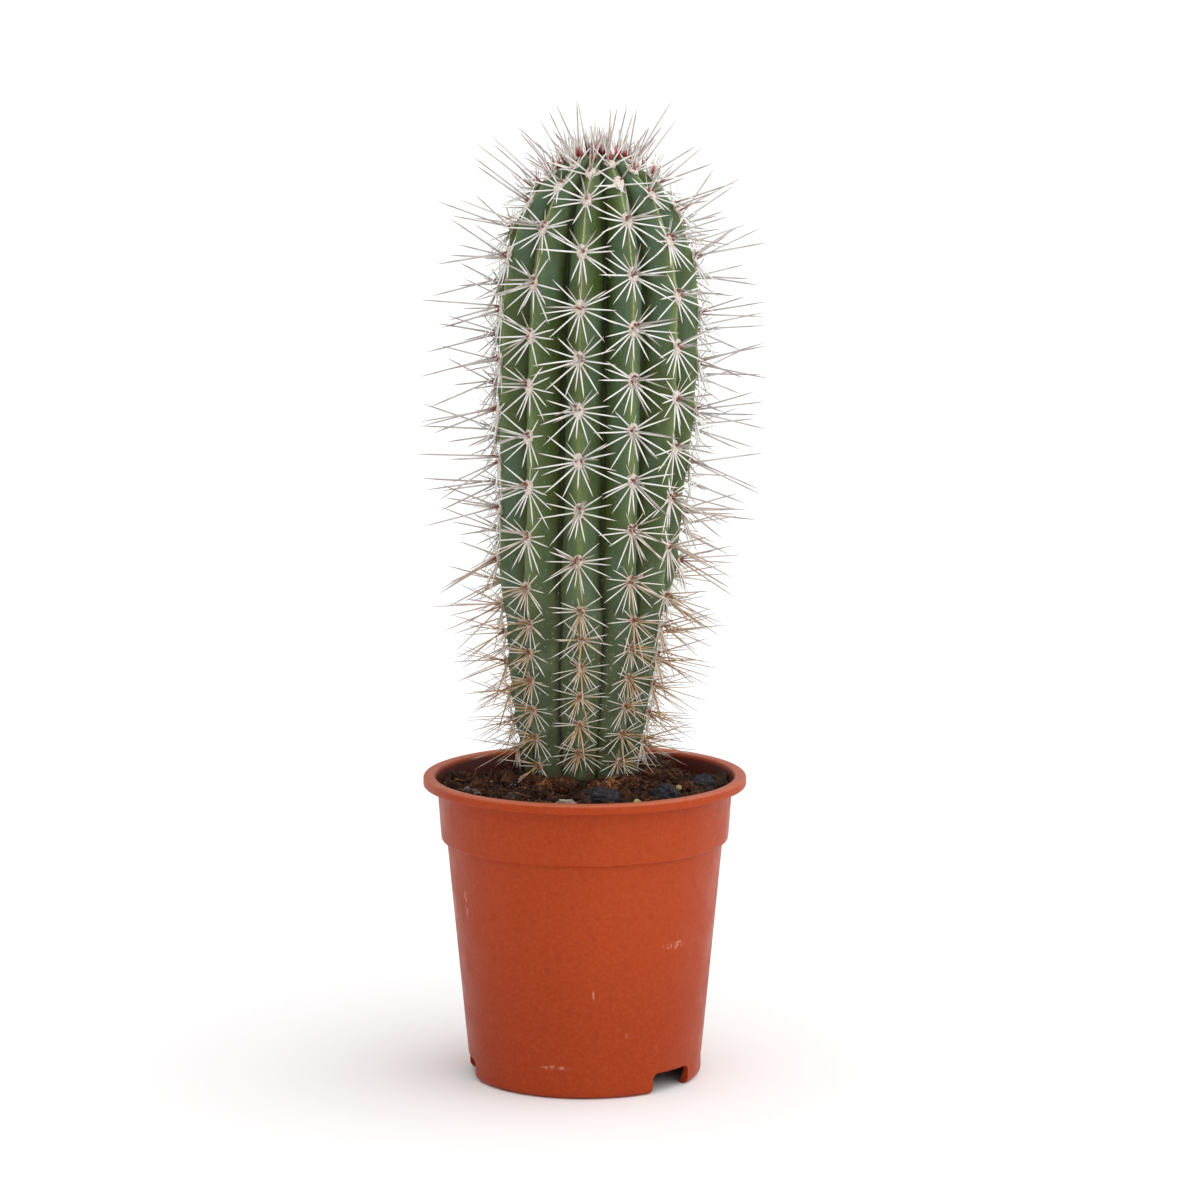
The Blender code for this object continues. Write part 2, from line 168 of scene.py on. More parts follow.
# ================================================================ forms

def smoothstep(low, high, value):
    part = min(max((value - low) / (high - low), 0.0), 1.0)
    return part * part * (3 - 2 * part)


def around(angle, radius, height=0.0):
    """The point at this angle from the front."""
    turn = radians(angle)
    return Vector((radius * sin(turn), -radius * cos(turn), height))


def smooth_curve(points, at):
    """A smooth curve through the points, read at one place along the first value."""
    places = [p for p, _ in points]
    values = [v for _, v in points]
    if at <= places[0]:
        return values[0]
    if at >= places[-1]:
        return values[-1]
    i = int(np.searchsorted(places, at, side="right")) - 1
    width = places[i + 1] - places[i]
    part = (at - places[i]) / width
    slopes = []
    for k in (i, i + 1):
        before, after = max(k - 1, 0), min(k + 1, len(points) - 1)
        slopes.append((values[after] - values[before]) / (places[after] - places[before]))
    square, cube = part * part, part ** 3
    return ((2 * cube - 3 * square + 1) * values[i] + (cube - 2 * square + part) * width * slopes[0]
            + (3 * square - 2 * cube) * values[i + 1] + (cube - square) * width * slopes[1])


def crown_table():
    """Distance run along the crown's ellipse against its angle."""
    angles = np.linspace(0, pi / 2, 400)
    rise = CROWN_HEIGHT * np.sin(angles)
    reach = OUTLINE[-1][1] * np.cos(angles)
    steps = np.hypot(np.diff(rise), np.diff(reach))
    return angles, np.concatenate([[0.0], np.cumsum(steps)])


CROWN_ANGLES, CROWN_RUN = crown_table()
STEM_RUN = CROWN_BASE + float(CROWN_RUN[-1])


def outline_point(run):
    """Crest radius and height at this run, which is the height itself below the crown."""
    if run <= CROWN_BASE:
        if run < OUTLINE[0][0]:
            share = max(run - STEM_FOOT, 0.0) / (OUTLINE[0][0] - STEM_FOOT)
            return OUTLINE[0][1] * share ** 0.5, run
        return smooth_curve(OUTLINE, run), run
    angle = float(np.interp(run - CROWN_BASE, CROWN_RUN, CROWN_ANGLES))
    return OUTLINE[-1][1] * cos(angle), CROWN_BASE + CROWN_HEIGHT * sin(angle)


def stem_axis(height):
    lean = smoothstep(LEAN_START, LEAN_END, height)
    return Vector((LEAN_BOTTOM + (LEAN_TOP - LEAN_BOTTOM) * lean, 0, height))


def rib_angle(rib, height):
    even = FIRST_RIB + rib * 360 / RIBS
    spread = 1 - sum(0.5 * smoothstep(start, end, height) for start, end in RIB_SPREAD_STEPS)
    return even + RIB_SPREAD * spread * sin(radians(even - RIB_SPREAD_CENTRE))


def areole_phase(rib):
    return (0.6 - AREOLE_SHIFT * (rib % RIBS)) % 1.0 - 0.6


def areole_run(number):
    numbers, runs = zip(*AREOLE_RUN)
    return float(np.interp(number, numbers, runs))


def areole_number(run):
    numbers, runs = zip(*AREOLE_RUN)
    return float(np.interp(run, runs, numbers))


def off_crest(rib):
    """0 on a crest, 1 in a groove."""
    return 2 * abs(rib - floor(rib + 0.5))


def groove_fall(rib):
    rounded = RIB_ROUNDNESS
    return (hypot(off_crest(rib), rounded) - rounded) / (hypot(1, rounded) - rounded)


def stem_point(rib, run, swell=True):
    """A point of the ribbed surface."""
    radius, height = outline_point(run)
    share = smoothstep(0.19, 0.30, height)
    depth = GROOVE_DEPTH_LOW + (GROOVE_DEPTH_HIGH - GROOVE_DEPTH_LOW) * share
    spread = radius * (1 - depth * groove_fall(rib))
    if swell and height > SOIL_AT_STEM:
        crest = floor(rib + 0.5)
        place = areole_number(run) - areole_phase(crest)
        near = place - floor(place + 0.5)
        bulge = exp(-(near / 0.22) ** 2) - 0.5
        crease = exp(-((near - 0.30) / 0.08) ** 2)
        fade = exp(-(off_crest(rib) / 0.55) ** 2) * min(1.0, radius / 0.03)
        spread += fade * (SWELLING * bulge - CREASE * crease)
    return stem_axis(height) + around(rib_angle(rib, height), spread)


def stem_axes(rib, run):
    """Outward, upward and sideways directions on a crest."""
    below, above = stem_point(rib, run - 0.002, False), stem_point(rib, run + 0.002, False)
    upward = (above - below).normalized()
    angle = rib_angle(rib, outline_point(run)[1])
    sideways = around(angle + 90, 1.0)
    outward = sideways.cross(upward).normalized()
    if outward.dot(around(angle, 1.0) + Vector((0, 0, 0.5))) < 0:
        outward = -outward
    return outward, upward, sideways


def pot_inside(height):
    """The pot's inner radius at this height."""
    floor_radius = FOOT_RADIUS - WALL
    wall = (
        (FLOOR_TOP, floor_radius - 0.002),
        (FLOOR_TOP + 0.002, floor_radius),
        (STEP_HEIGHT - WALL, BODY_TOP_RADIUS - WALL),
        (COLLAR_FOOT, COLLAR_FOOT_RADIUS - WALL),
        (POT_HEIGHT - RIM_LIP, COLLAR_TOP_RADIUS - WALL),
        (POT_HEIGHT, RIM_INNER_RADIUS - 0.0005),
    )
    return float(np.interp(height, *zip(*wall)))


def layered_noise(point, scale, layers=3):
    """Noise of a few sizes, about -1 to 1."""
    total, strength = 0.0, 1.0
    for _ in range(layers):
        total += strength * noise.noise(point * scale)
        scale *= 2.1
        strength *= 0.5
    return total


def soil_height(x, y, fine=True):
    """Height of the soil: a mound at the stem, hollows and ridges by the wall, and a rough top."""
    reach = hypot(x, y)
    mound = 1 - smoothstep(0.030, 0.076, reach)
    height = SOIL_AT_WALL + (SOIL_AT_STEM - SOIL_AT_WALL) * mound
    for cx, cy, radius, depth in HOLLOWS:
        height -= depth * (1 - smoothstep(0.2 * radius, radius, hypot(x - cx, y - cy)))
    angle = degrees(atan2(x, -y))
    for middle, width, rise in RIDGES:
        off = (angle - middle + 180) % 360 - 180
        height += rise * exp(-(off / width) ** 2) * smoothstep(0.060, 0.0745, reach)
    if fine:
        spot = Vector((x, y, 0.3))
        across, along = noise.noise(spot * 140), noise.noise(spot * 140 + Vector((9, 4, 0)))
        crumb = 0.45 - noise.voronoi((spot + Vector((across, along, 0)) * 0.0045) * 135)[0][0]
        rough = (0.0038 * layered_noise(spot, 60, 2) + 0.0034 * crumb
                 + 0.0011 * layered_noise(spot, 230, 3))
        height += rough * smoothstep(0.030, 0.040, reach)
    return height


# ================================================================ building

def placed(at, turn, *size):
    """The matrix that sizes, turns and then moves a shape."""
    return Matrix.Translation(at) @ turn @ Matrix.Diagonal((*size, 1))


def drawn(dice, *ranges):
    """A vector drawn at random, one range for each axis."""
    return Vector([dice.uniform(*ends) for ends in ranges])


def mesh_of(bm, name):
    """Turns working geometry into a mesh."""
    mesh = bpy.data.meshes.new(name)
    bm.to_mesh(mesh)
    bm.free()
    return mesh


def put_in_scene(name, data):
    """An object for this mesh, lamp or camera."""
    made = bpy.data.objects.new(name, data)
    bpy.context.collection.objects.link(made)
    return made


def piece_from(name, bm, material, replaces=(), sharp=None):
    """A finished piece: its mesh, finish and body, and the CAD nodes that it stands for."""
    mesh = mesh_of(bm, name)
    mesh.shade_smooth()
    if sharp is not None:
        mesh.set_sharp_from_angle(angle=radians(sharp))
    mesh.materials.append(material)
    made = put_in_scene(name, mesh)
    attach(made, "root")
    if replaces:
        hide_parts(*replaces)
    return made


def moulded(columns, rows, place, layers=()):
    """A closed shape moulded from a globe: place(turn, share) puts each point, with turn round from
    0 to 1 and share up from 0 to 1, and gives the values of its layers."""
    bm = bmesh.new()
    stores = [bm.verts.layers.float.new(name) for name in layers]
    bmesh.ops.create_uvsphere(bm, u_segments=columns, v_segments=rows, radius=1.0)
    for vertex in bm.verts:
        turn = degrees(atan2(vertex.co.x, -vertex.co.y)) / 360 % 1.0
        share = 0.5 + np.arcsin(max(-1.0, min(1.0, vertex.co.z))) / pi
        column = round(turn * columns * 2) / (columns * 2)
        vertex.co, values = place(column, round(share * rows) / rows)
        for store, value in zip(stores, values):
            vertex[store] = value
    bmesh.ops.recalc_face_normals(bm, faces=bm.faces)
    return bm


def globe(subdivisions, radius=0.5):
    """A round shape to start from."""
    bm = bmesh.new()
    bmesh.ops.create_icosphere(bm, subdivisions=subdivisions, radius=radius)
    return bm


def scaled(spot, size):
    """A point stretched by a size along each axis."""
    return Vector((spot.x * size.x, spot.y * size.y, spot.z * size.z))


def add_mesh(bm, part):
    """Adds a separate shape to a piece."""
    bmesh.ops.recalc_face_normals(part, faces=part.faces)
    mesh = mesh_of(part, "part")
    bm.from_mesh(mesh)
    bpy.data.meshes.remove(mesh)


def grow(bm, template, matrix, layers=(), values=()):
    """Adds a placed copy of a template mesh, and returns its points."""
    bm.verts.ensure_lookup_table()
    first = len(bm.verts)
    bm.from_mesh(template)
    bm.verts.ensure_lookup_table()
    added = [bm.verts[i] for i in range(first, len(bm.verts))]
    for vertex in added:
        vertex.co = matrix @ vertex.co
        for store, value in zip(layers, values):
            vertex[store] = value
    return added


# ================================================================ finishes

def display(red, green, blue):
    """A colour given in 0-255 display values, as the shader wants it."""
    values = [value / 255 for value in (red, green, blue)]
    return tuple(v / 12.92 if v <= 0.04045 else ((v + 0.055) / 1.055) ** 2.4 for v in values) + (1.0,)


class Finish:
    """A Principled material, laid on coat by coat over Object coordinates. Colours are given in
    0-255 display values."""

    def __init__(self, name, roughness, **uniform):
        self.material = bpy.data.materials.new(name)
        self.material.use_nodes = True
        self.nodes = self.material.node_tree.nodes
        self.links = self.material.node_tree.links
        self.shader = self.nodes["Principled BSDF"]
        self.fill(self.shader, Roughness=roughness, **uniform)
        self.place = self.node("TexCoord").outputs["Object"]
        self.base = None

    def put(self, socket, value):
        """Feeds an input with a colour, a number or another node's output."""
        if isinstance(value, bpy.types.NodeSocket):
            self.links.new(value, socket)
        else:
            socket.default_value = display(*value) if socket.type == "RGBA" else value

    def fill(self, node, **inputs):
        """Feeds a node's inputs by name, with an underscore for each space."""
        for name, value in inputs.items():
            self.put(node.inputs[name.replace("_", " ")], value)
        return node

    def node(self, kind, **inputs):
        return self.fill(self.nodes.new("ShaderNode" + kind), **inputs)

    def noise(self, scale, detail=3.0, rough=0.55, stretch=None):
        """Noise in object space, which a small stretch value draws out along its axis."""
        place = self.place
        if stretch:
            place = self.node("Mapping", Scale=stretch, Vector=place).outputs["Vector"]
        return self.node("TexNoise", Scale=scale, Detail=detail, Roughness=rough,
                         Vector=place).outputs["Fac"]

    def patches(self, scale, low, high, detail=3.0, rough=0.55, stretch=None):
        """Blotches with soft edges: 0 where the noise is under low, 1 where it is over high."""
        return self.between(self.noise(scale, detail, rough, stretch), low, high)

    def layer(self, name):
        """A value stored on the piece's own points."""
        node = self.node("Attribute")
        node.attribute_name = name
        return node.outputs["Fac"]

    def height(self, low, high):
        """0 below one height and 1 above another."""
        return self.between(self.node("SeparateXYZ", Vector=self.place).outputs["Z"], low, high)

    def between(self, value, low, high, to_low=0.0, to_high=1.0):
        """A smooth step from to_low to to_high."""
        node = self.node("MapRange", Value=value, From_Min=low, From_Max=high,
                         To_Min=to_low, To_Max=to_high)
        node.interpolation_type = "SMOOTHSTEP"
        return node.outputs["Result"]

    def maths(self, operation, a, b):
        node = self.node("Math")
        node.operation = operation
        self.put(node.inputs[0], a)
        self.put(node.inputs[1], b)
        return node.outputs[0]

    def times(self, *factors):
        product = factors[0]
        for factor in factors[1:]:
            product = self.maths("MULTIPLY", product, factor)
        return product

    def near(self, spot, angle, wide, high):
        """1 at a spot on a round wall, falling to 0 at this half width and half height."""
        spread = self.node("Mapping", Location=spot, Rotation=(0, 0, radians(angle)),
                           Scale=(wide, SCUFF_REACH, high), Vector=self.place)
        spread.vector_type = "TEXTURE"
        far = self.node("VectorMath", Vector=spread.outputs["Vector"])
        far.operation = "LENGTH"
        return self.between(far.outputs["Value"], 0.35, 1.0, 1.0, 0.0)

    def ramp(self, value, *stops):
        """A colour read off a scale of (place, colour)."""
        node = self.node("ValToRGB", Fac=value)
        scale = node.color_ramp
        while len(scale.elements) < len(stops):
            scale.elements.new(0.5)
        for element, (place, colour) in zip(scale.elements, stops):
            element.position = place
            element.color = display(*colour)
        return node.outputs["Color"]

    def mixed(self, share, first, second):
        node = self.node("Mix")
        node.data_type = "RGBA"
        for socket, value in ((0, share), (6, first), (7, second)):
            self.put(node.inputs[socket], value)
        return node.outputs[2]

    def coat(self, colour, *shares):
        """Lays a colour over the coats so far, as thick as the product of its shares."""
        self.base = self.mixed(self.times(*shares), self.base, colour)

    def roughness(self, value, low, high):
        self.fill(self.shader, Roughness=self.between(value, 0.3, 0.7, low, high))

    def done(self, *relief):
        """Finishes the colour, and adds relief as (value, depth in metres), one over the other."""
        self.fill(self.shader, Base_Color=self.base)
        target = self.shader
        for value, depth in reversed(relief):
            node = self.node("Bump", Distance=depth, Strength=1.0, Height=value)
            self.fill(target, Normal=node.outputs["Normal"])
            target = node
        return self.material


SCUFF_REACH = 0.01  # how deep into the wall a scuff's patch is looked for
SCUFFS = (  # angle, height, half width, half height on the pot's face
    (4.0, 0.056, 0.0008, 0.0050),
    (43.0, 0.080, 0.0095, 0.0026),
    (-14.5, 0.017, 0.0110, 0.0015),
    (20.0, 0.034, 0.0018, 0.0018),
    (9.8, 0.018, 0.0016, 0.0014),
    (-62.0, 0.098, 0.0020, 0.0100),
    (96.0, 0.060, 0.0100, 0.0030),
    (171.0, 0.090, 0.0030, 0.0120),
    (-140.0, 0.040, 0.0080, 0.0020),
)


def terracotta_plastic():
    """Satin moulded plastic with faint flow streaks, fine grain and pale scuffs, painted shade toward
    the bottom and on the inner wall, and a painted highlight on the rim's top.
    """
    made = Finish("terracotta_plastic", 0.42, Specular_IOR_Level=0.14)
    streaks = made.noise(9.0, 3, 0.5, (1, 1, 0.22))
    made.base = made.ramp(streaks, (0.30, (160, 56, 18)), (0.52, (166, 60, 21)), (0.75, (172, 65, 25)))
    # Painted shade: the plastic is darkened toward the bottom of the pot.
    made.coat((145, 49, 14), made.between(made.height(0.010, 0.120), 0.0, 1.0, 0.45, 0.0))
    rubbed = made.patches(130.0, 0.62, 0.80, 6, 0.72, (1, 1, 0.35))
    made.coat((204, 124, 92), rubbed, made.patches(13.0, 0.50, 0.72, 2), 0.42)
    made.coat((196, 92, 52), made.patches(560.0, 0.46, 0.62, 4, 0.7), 0.16)
    marks = 0.0
    for angle, height, wide, high in SCUFFS:
        radius = FOOT_RADIUS + (BODY_TOP_RADIUS - FOOT_RADIUS) * height / STEP_HEIGHT
        spot = made.near(around(angle, radius, height), angle, wide, high)
        marks = made.maths("MAXIMUM", marks, spot)
    marks = made.times(marks, made.patches(420.0, 0.44, 0.66, 5, 0.7, (1, 1, 0.6)))
    made.coat((224, 166, 142), marks, 0.62)
    # Painted highlight: the rim's top face is lightened, where light from above falls.
    made.coat((198, 122, 96), made.height(POT_HEIGHT - 0.0016, POT_HEIGHT - 0.0002), 0.50)
    made.coat((122, 44, 20), made.patches(240.0, 0.56, 0.72), 0.22)
    # Painted shade: the pot's inner wall is darkened to a deep brown, as in a recess.
    made.coat((82, 27, 12), made.between(made.layer("inside"), 0.02, 0.30))
    made.roughness(made.noise(60.0, 4), 0.36, 0.50)
    return made.done((made.noise(900.0, 3), 0.00006), (made.noise(70.0, 3), 0.00008),
                     (made.times(marks, -1.0), 0.00006))


def peat():
    """Dark moist peat: brown crumb, painted near-black as shade in the hollows of its bump, and a few
    rusty fibres.
    """
    made = Finish("peat", 0.93, Specular_IOR_Level=0.25)
    crumb = made.noise(420.0, 6, 0.7)
    # The crumb noise also drives the bump: its lowest values, the bump's hollows, get near-black
    # painted shade.
    made.base = made.ramp(crumb, (0.32, (16, 9, 6)), (0.46, (42, 26, 18)),
                          (0.58, (84, 54, 38)), (0.72, (138, 98, 72)))
    made.coat((28, 18, 13), made.patches(45.0, 0.42, 0.62), 0.50)
    made.coat((128, 66, 34), made.patches(300.0, 0.60, 0.70, 3, 0.6, (1, 0.25, 0.4)), 0.6)
    return made.done((made.noise(1500.0, 4), 0.0003), (crumb, 0.0012))


def cactus_skin():
    """Waxy olive-green skin: a painted highlight on the crests, grey bloom on the flanks, painted shade
    in the grooves, and worn and corky near the soil."""
    made = Finish("cactus_skin", 0.50, Specular_IOR_Level=0.32)
    groove = made.layer("groove")
    # Painted light: the groove layer lightens the crests as a painted highlight and darkens toward the
    # grooves as painted shade.
    made.base = made.ramp(groove, (0.0, (116, 134, 80)), (0.12, (104, 122, 68)), (0.32, (84, 101, 52)),
                          (0.66, (72, 88, 42)), (0.88, (46, 56, 18)), (1.0, (24, 29, 7)))
    low = made.height(0.190, 0.330)
    made.coat((62, 82, 32), made.patches(75.0, 0.44, 0.62, 6, 0.65, (1, 1, 0.30)), 0.50)
    bloom = made.patches(32.0, 0.44, 0.60, 6, 0.68, (1, 1, 0.40))
    on_flank = made.times(made.between(groove, 0.06, 0.26), made.between(groove, 0.60, 0.92, 1.0, 0.0))
    made.coat((92, 116, 96), bloom, on_flank, 0.62)
    worn = made.mixed(made.patches(60.0, 0.42, 0.60, 6, 0.68), (58, 68, 44), (88, 98, 74))
    made.coat(worn, made.between(low, 0.0, 1.0, 0.70, 0.0), made.between(groove, 0.75, 1.0, 1.0, 0.35))
    made.coat((100, 100, 44), made.between(groove, 0.62, 0.76),
              made.between(groove, 0.80, 0.90, 1.0, 0.0),
              made.between(made.height(0.260, 0.400), 0.0, 1.0, 0.32, 0.08))
    # Painted shade: a near-black line along the bottom of each groove.
    made.coat((22, 24, 8), made.between(groove, 0.93, 0.97))
    made.coat((164, 180, 158), made.patches(620.0, 0.64, 0.71, 2),
              made.between(low, 0.0, 1.0, 0.60, 0.22))
    made.coat((140, 112, 72), made.between(groove, 0.010, 0.030, 1.0, 0.0), made.height(0.250, 0.330),
              made.patches(150.0, 0.42, 0.56, 4, 0.6, (1, 1, 0.3)), 0.55)
    made.coat((104, 84, 52), made.between(made.height(0.160, 0.190), 0.0, 1.0, 0.55, 0.0),
              made.patches(180.0, 0.45, 0.62, 4))
    made.coat((200, 192, 164), made.layer("felt_line"), made.patches(700.0, 0.25, 0.50))
    made.roughness(bloom, 0.46, 0.62)
    return made.done((made.noise(1100.0, 3), 0.00010), (made.noise(160.0, 4), 0.00040),
                     (made.noise(42.0, 3, 0.5, (1, 1, 0.6)), 0.0016))


def areole_felt():
    """Cream felt with pink and red-brown flecks where spines leave it, browner low on the plant."""
    made = Finish("areole_felt", 0.95, Sheen_Weight=0.20, Specular_IOR_Level=0.2)
    flecks = made.noise(1000.0, 3)
    young = made.ramp(flecks, (0.30, (176, 124, 108)), (0.40, (222, 204, 190)), (0.58, (240, 232, 222)))
    old = made.ramp(flecks, (0.33, (132, 78, 56)), (0.46, (190, 156, 136)), (0.64, (214, 194, 176)))
    made.base = made.mixed(made.height(0.190, 0.330), old, young)
    return made.done((made.noise(2600.0, 3), 0.00035), (made.noise(700.0, 3), 0.00050))


def spine_finish(name, foot, shaft, tip, warm, dark, foot_end=0.05, shaft_start=0.12, shaft_end=0.74):
    """A horny spine: its colours at the foot, along the shaft and at the tip, warmer low down."""
    made = Finish(name, 0.42, Specular_IOR_Level=0.40)
    along = made.layer("along")
    upper = made.ramp(along, (0.0, foot), (foot_end, foot), (shaft_start, shaft), (shaft_end, shaft),
                      (1.0, tip))
    lower = made.ramp(along, (0.0, foot), (0.12, warm), (0.45, warm), (0.80, shaft), (1.0, tip))
    made.base = made.mixed(made.height(0.205, 0.335), lower, upper)
    made.coat(dark, made.layer("tone"))
    made.coat(tip, made.between(made.noise(420.0, 2), 0.52, 0.75, 0.0, 0.14))
    return made.done((made.noise(2200.0, 2), 0.00006))


def crumbly(name, dark, middle, light, scale):
    """A dry crumbly surface in three colours."""
    made = Finish(name, 0.92, Specular_IOR_Level=0.25)
    grain = made.noise(scale, 6, 0.68)
    made.base = made.ramp(grain, (0.32, dark), (0.52, middle), (0.74, light))
    made.coat(light, made.patches(scale * 2.7, 0.66, 0.74, 2), 0.5)
    return made.done((made.noise(scale * 4, 3), 0.00015), (grain, 0.0006))


def fibrous(name, dark, middle, light, stretch):
    """Dry wood or fibre with long grain along one axis."""
    made = Finish(name, 0.88, Specular_IOR_Level=0.25)
    grain = made.noise(520.0, 5, 0.65, stretch)
    made.base = made.ramp(grain, (0.30, dark), (0.50, middle), (0.72, light))
    return made.done((grain, 0.0004))


# ================================================================ pot

def arc(centre_radius, centre_height, radius, start, end, points):
    """Points of a round, as radius and height. Degrees run from +radius towards +height."""
    spots = []
    for i in range(points + 1):
        turn = radians(start + (end - start) * i / points)
        spots.append((centre_radius + radius * cos(turn), centre_height + radius * sin(turn)))
    return spots


def pot_profile():
    """The wall's section, from the floor's top at the axis round to its underside at the axis."""
    floor_radius = FOOT_RADIUS - WALL
    lip_foot = POT_HEIGHT - RIM_LIP
    floor_round, mouth_round, lip_round, under_lip = 0.0025, 0.0014, 0.0007, 0.0008
    step_round, under_step = 0.0014, 0.0005
    inside = [
        (0.0, FLOOR_TOP),
        *arc(floor_radius - floor_round, FLOOR_TOP + floor_round, floor_round, -90, 0, 5),
        (BODY_TOP_RADIUS - WALL, STEP_HEIGHT - WALL),
        (COLLAR_FOOT_RADIUS - WALL - 0.0004, COLLAR_FOOT - 0.0008),
        (COLLAR_FOOT_RADIUS - WALL, COLLAR_FOOT),
        (COLLAR_TOP_RADIUS - WALL, lip_foot - 0.001),
    ]
    rim = [
        *arc(RIM_INNER_RADIUS + 0.0012, POT_HEIGHT - mouth_round, mouth_round, 170, 90, 5),
        *arc(RIM_RADIUS - RIM_ROUND, POT_HEIGHT - RIM_ROUND, RIM_ROUND, 90, 0, 6),
        *arc(RIM_RADIUS - lip_round, lip_foot + lip_round, lip_round, 0, -90, 3),
    ]
    outside = [
        *arc(COLLAR_TOP_RADIUS + under_lip, lip_foot - under_lip, under_lip, 90, 180, 3),
        (COLLAR_FOOT_RADIUS + 0.0002, COLLAR_FOOT + 0.0012),
        *arc(COLLAR_FOOT_RADIUS - step_round, COLLAR_FOOT - 0.0002, step_round, 0, -80, 5),
        *arc(BODY_TOP_RADIUS + under_step, STEP_HEIGHT - 0.0002, under_step, 90, 180, 3),
        (FOOT_RADIUS + 0.0004, 0.0125),
        (FOOT_RADIUS, 0.0105),
    ]
    foot = [
        *arc(FOOT_RADIUS - FOOT_ROUND, FOOT_ROUND, FOOT_ROUND, 0, -90, 7),
        (FOOT_RING_INNER, 0.0),
        (FOOT_RADIUS - WALL - 0.0014, 0.007),
        (FOOT_RADIUS - WALL - 0.0006, FLOOR_UNDERSIDE),
        (0.0, FLOOR_UNDERSIDE),
    ]
    return inside + rim + outside + foot


def cut(target, cutter_bm, name):
    """Cuts a shape out of a piece, and removes the cutter."""
    cutter = put_in_scene(name, mesh_of(cutter_bm, name))
    modifier = target.modifiers.new(name, "BOOLEAN")
    modifier.solver = "EXACT"
    modifier.object = cutter
    bpy.context.view_layer.update()
    evaluated = target.evaluated_get(bpy.context.evaluated_depsgraph_get())
    cut_mesh = bpy.data.meshes.new_from_object(evaluated)
    target.modifiers.remove(modifier)
    target.data = cut_mesh
    bpy.data.objects.remove(cutter)


def notch_cutter():
    """Blocks with rounded tops, standing across the foot ring."""
    bm = bmesh.new()
    for angle in NOTCH_ANGLES:
        place = Matrix.Rotation(radians(angle), 4, "Z") @ Matrix.Translation((0, -FOOT_RADIUS, 0))
        size = Matrix.Diagonal((NOTCH_WIDTH, NOTCH_DEPTH, 2 * NOTCH_HEIGHT, 1))
        box = bmesh.ops.create_cube(bm, size=1.0, matrix=place @ size)["verts"]
        corners = []
        for edge in {e for v in box for e in v.link_edges}:
            along = edge.verts[0].co - edge.verts[1].co
            top = max(v.co.z for v in edge.verts) > 0
            if top and abs(along.normalized().z) < 0.1 and abs(along.length - NOTCH_DEPTH) < 1e-4:
                corners.append(edge)
        bmesh.ops.bevel(bm, geom=corners, offset=NOTCH_ROUND, segments=6, profile=0.5,
                        affect="EDGES", material=-1)
    return bm


def drain_cutter():
    bm = bmesh.new()
    middle = (FLOOR_TOP + FLOOR_UNDERSIDE) / 2
    for hole in range(DRAIN_HOLES):
        spot = Matrix.Translation(around(hole * 360 / DRAIN_HOLES, DRAIN_CIRCLE, middle))
        bmesh.ops.create_cone(bm, cap_ends=True, segments=40, radius1=DRAIN_RADIUS,
                              radius2=DRAIN_RADIUS, depth=DRAIN_CUT, matrix=spot)
    return bm


def make_pot():
    bm = bmesh.new()
    points = [bm.verts.new((radius, 0, height)) for radius, height in pot_profile()]
    edges = [bm.edges.new(pair) for pair in zip(points, points[1:])]
    bmesh.ops.spin(bm, geom=points + edges, axis=(0, 0, 1), cent=(0, 0, 0), angle=2 * pi,
                   steps=POT_SEGMENTS, use_merge=True)
    bmesh.ops.remove_doubles(bm, verts=bm.verts, dist=1e-6)
    bmesh.ops.recalc_face_normals(bm, faces=bm.faces)
    pot = piece_from("pot_shell", bm, terracotta_plastic(), ["pot"])
    cut(pot, notch_cutter(), "notch_cutter")
    cut(pot, drain_cutter(), "drain_cutter")
    # Marks the inner wall below the mouth, which the finish darkens as painted shade.
    inside = pot.data.attributes.new("inside", "FLOAT", "POINT")
    for vertex, value in zip(pot.data.vertices, inside.data):
        inward = vertex.co.x * vertex.normal.x + vertex.co.y * vertex.normal.y < 0
        value.value = float(inward and FLOOR_UNDERSIDE < vertex.co.z < POT_HEIGHT - BRIGHT_MOUTH)
    pot.data.shade_smooth()
    pot.data.set_sharp_from_angle(angle=radians(38))


# ================================================================ soil

SOIL_SHARES = (0.03, 0.10, 0.96)  # where the floor, the wall and the open top end along the moulding
SOIL_FLOOR_GAP = 0.0004
SOCKET_RADIUS = 0.0265  # the hole that the stem stands in
SOCKET_DEPTH = 0.030
CRUMB_RANGE = (0.031, 0.0735)  # how near the middle and how far out the loose crumb lies
LUMP_RANGE = (0.036, 0.071)
FIBRE_RANGE = (0.031, 0.068)
FIBRE_REACH = 0.0725


def soil_place(turn, share):
    """A point of the plug of soil: up the pot's wall, over the top to the stem, and down its
    socket."""
    floor_end, wall_end, top_end = SOIL_SHARES
    angle = turn * 360
    bottom = FLOOR_TOP + SOIL_FLOOR_GAP
    if share < floor_end:
        return around(angle, (FOOT_RADIUS - WALL - 0.0028) * share / floor_end, bottom), ()
    edge = around(angle, pot_inside(SOIL_AT_WALL) - SOIL_WALL_GAP)
    edge_height = min(soil_height(edge.x, edge.y), POT_HEIGHT - 0.0008)
    if share < wall_end:
        height = bottom + (edge_height - bottom) * (share - floor_end) / (wall_end - floor_end)
        return around(angle, pot_inside(height) - SOIL_WALL_GAP, height), ()
    middle = Vector((LEAN_BOTTOM, 0, 0))
    if share <= top_end:
        inward = (share - wall_end) / (top_end - wall_end)
        outer = around(angle, pot_inside(edge_height) - SOIL_WALL_GAP)
        spot = outer.lerp(around(angle, SOCKET_RADIUS) + middle, inward)
        return Vector((spot.x, spot.y, soil_height(spot.x, spot.y))), ()
    down = (share - top_end) / (1 - top_end)
    radius = SOCKET_RADIUS * (1 - down) ** 0.5
    return around(angle, radius, SOIL_AT_STEM - SOCKET_DEPTH * down) + middle, ()


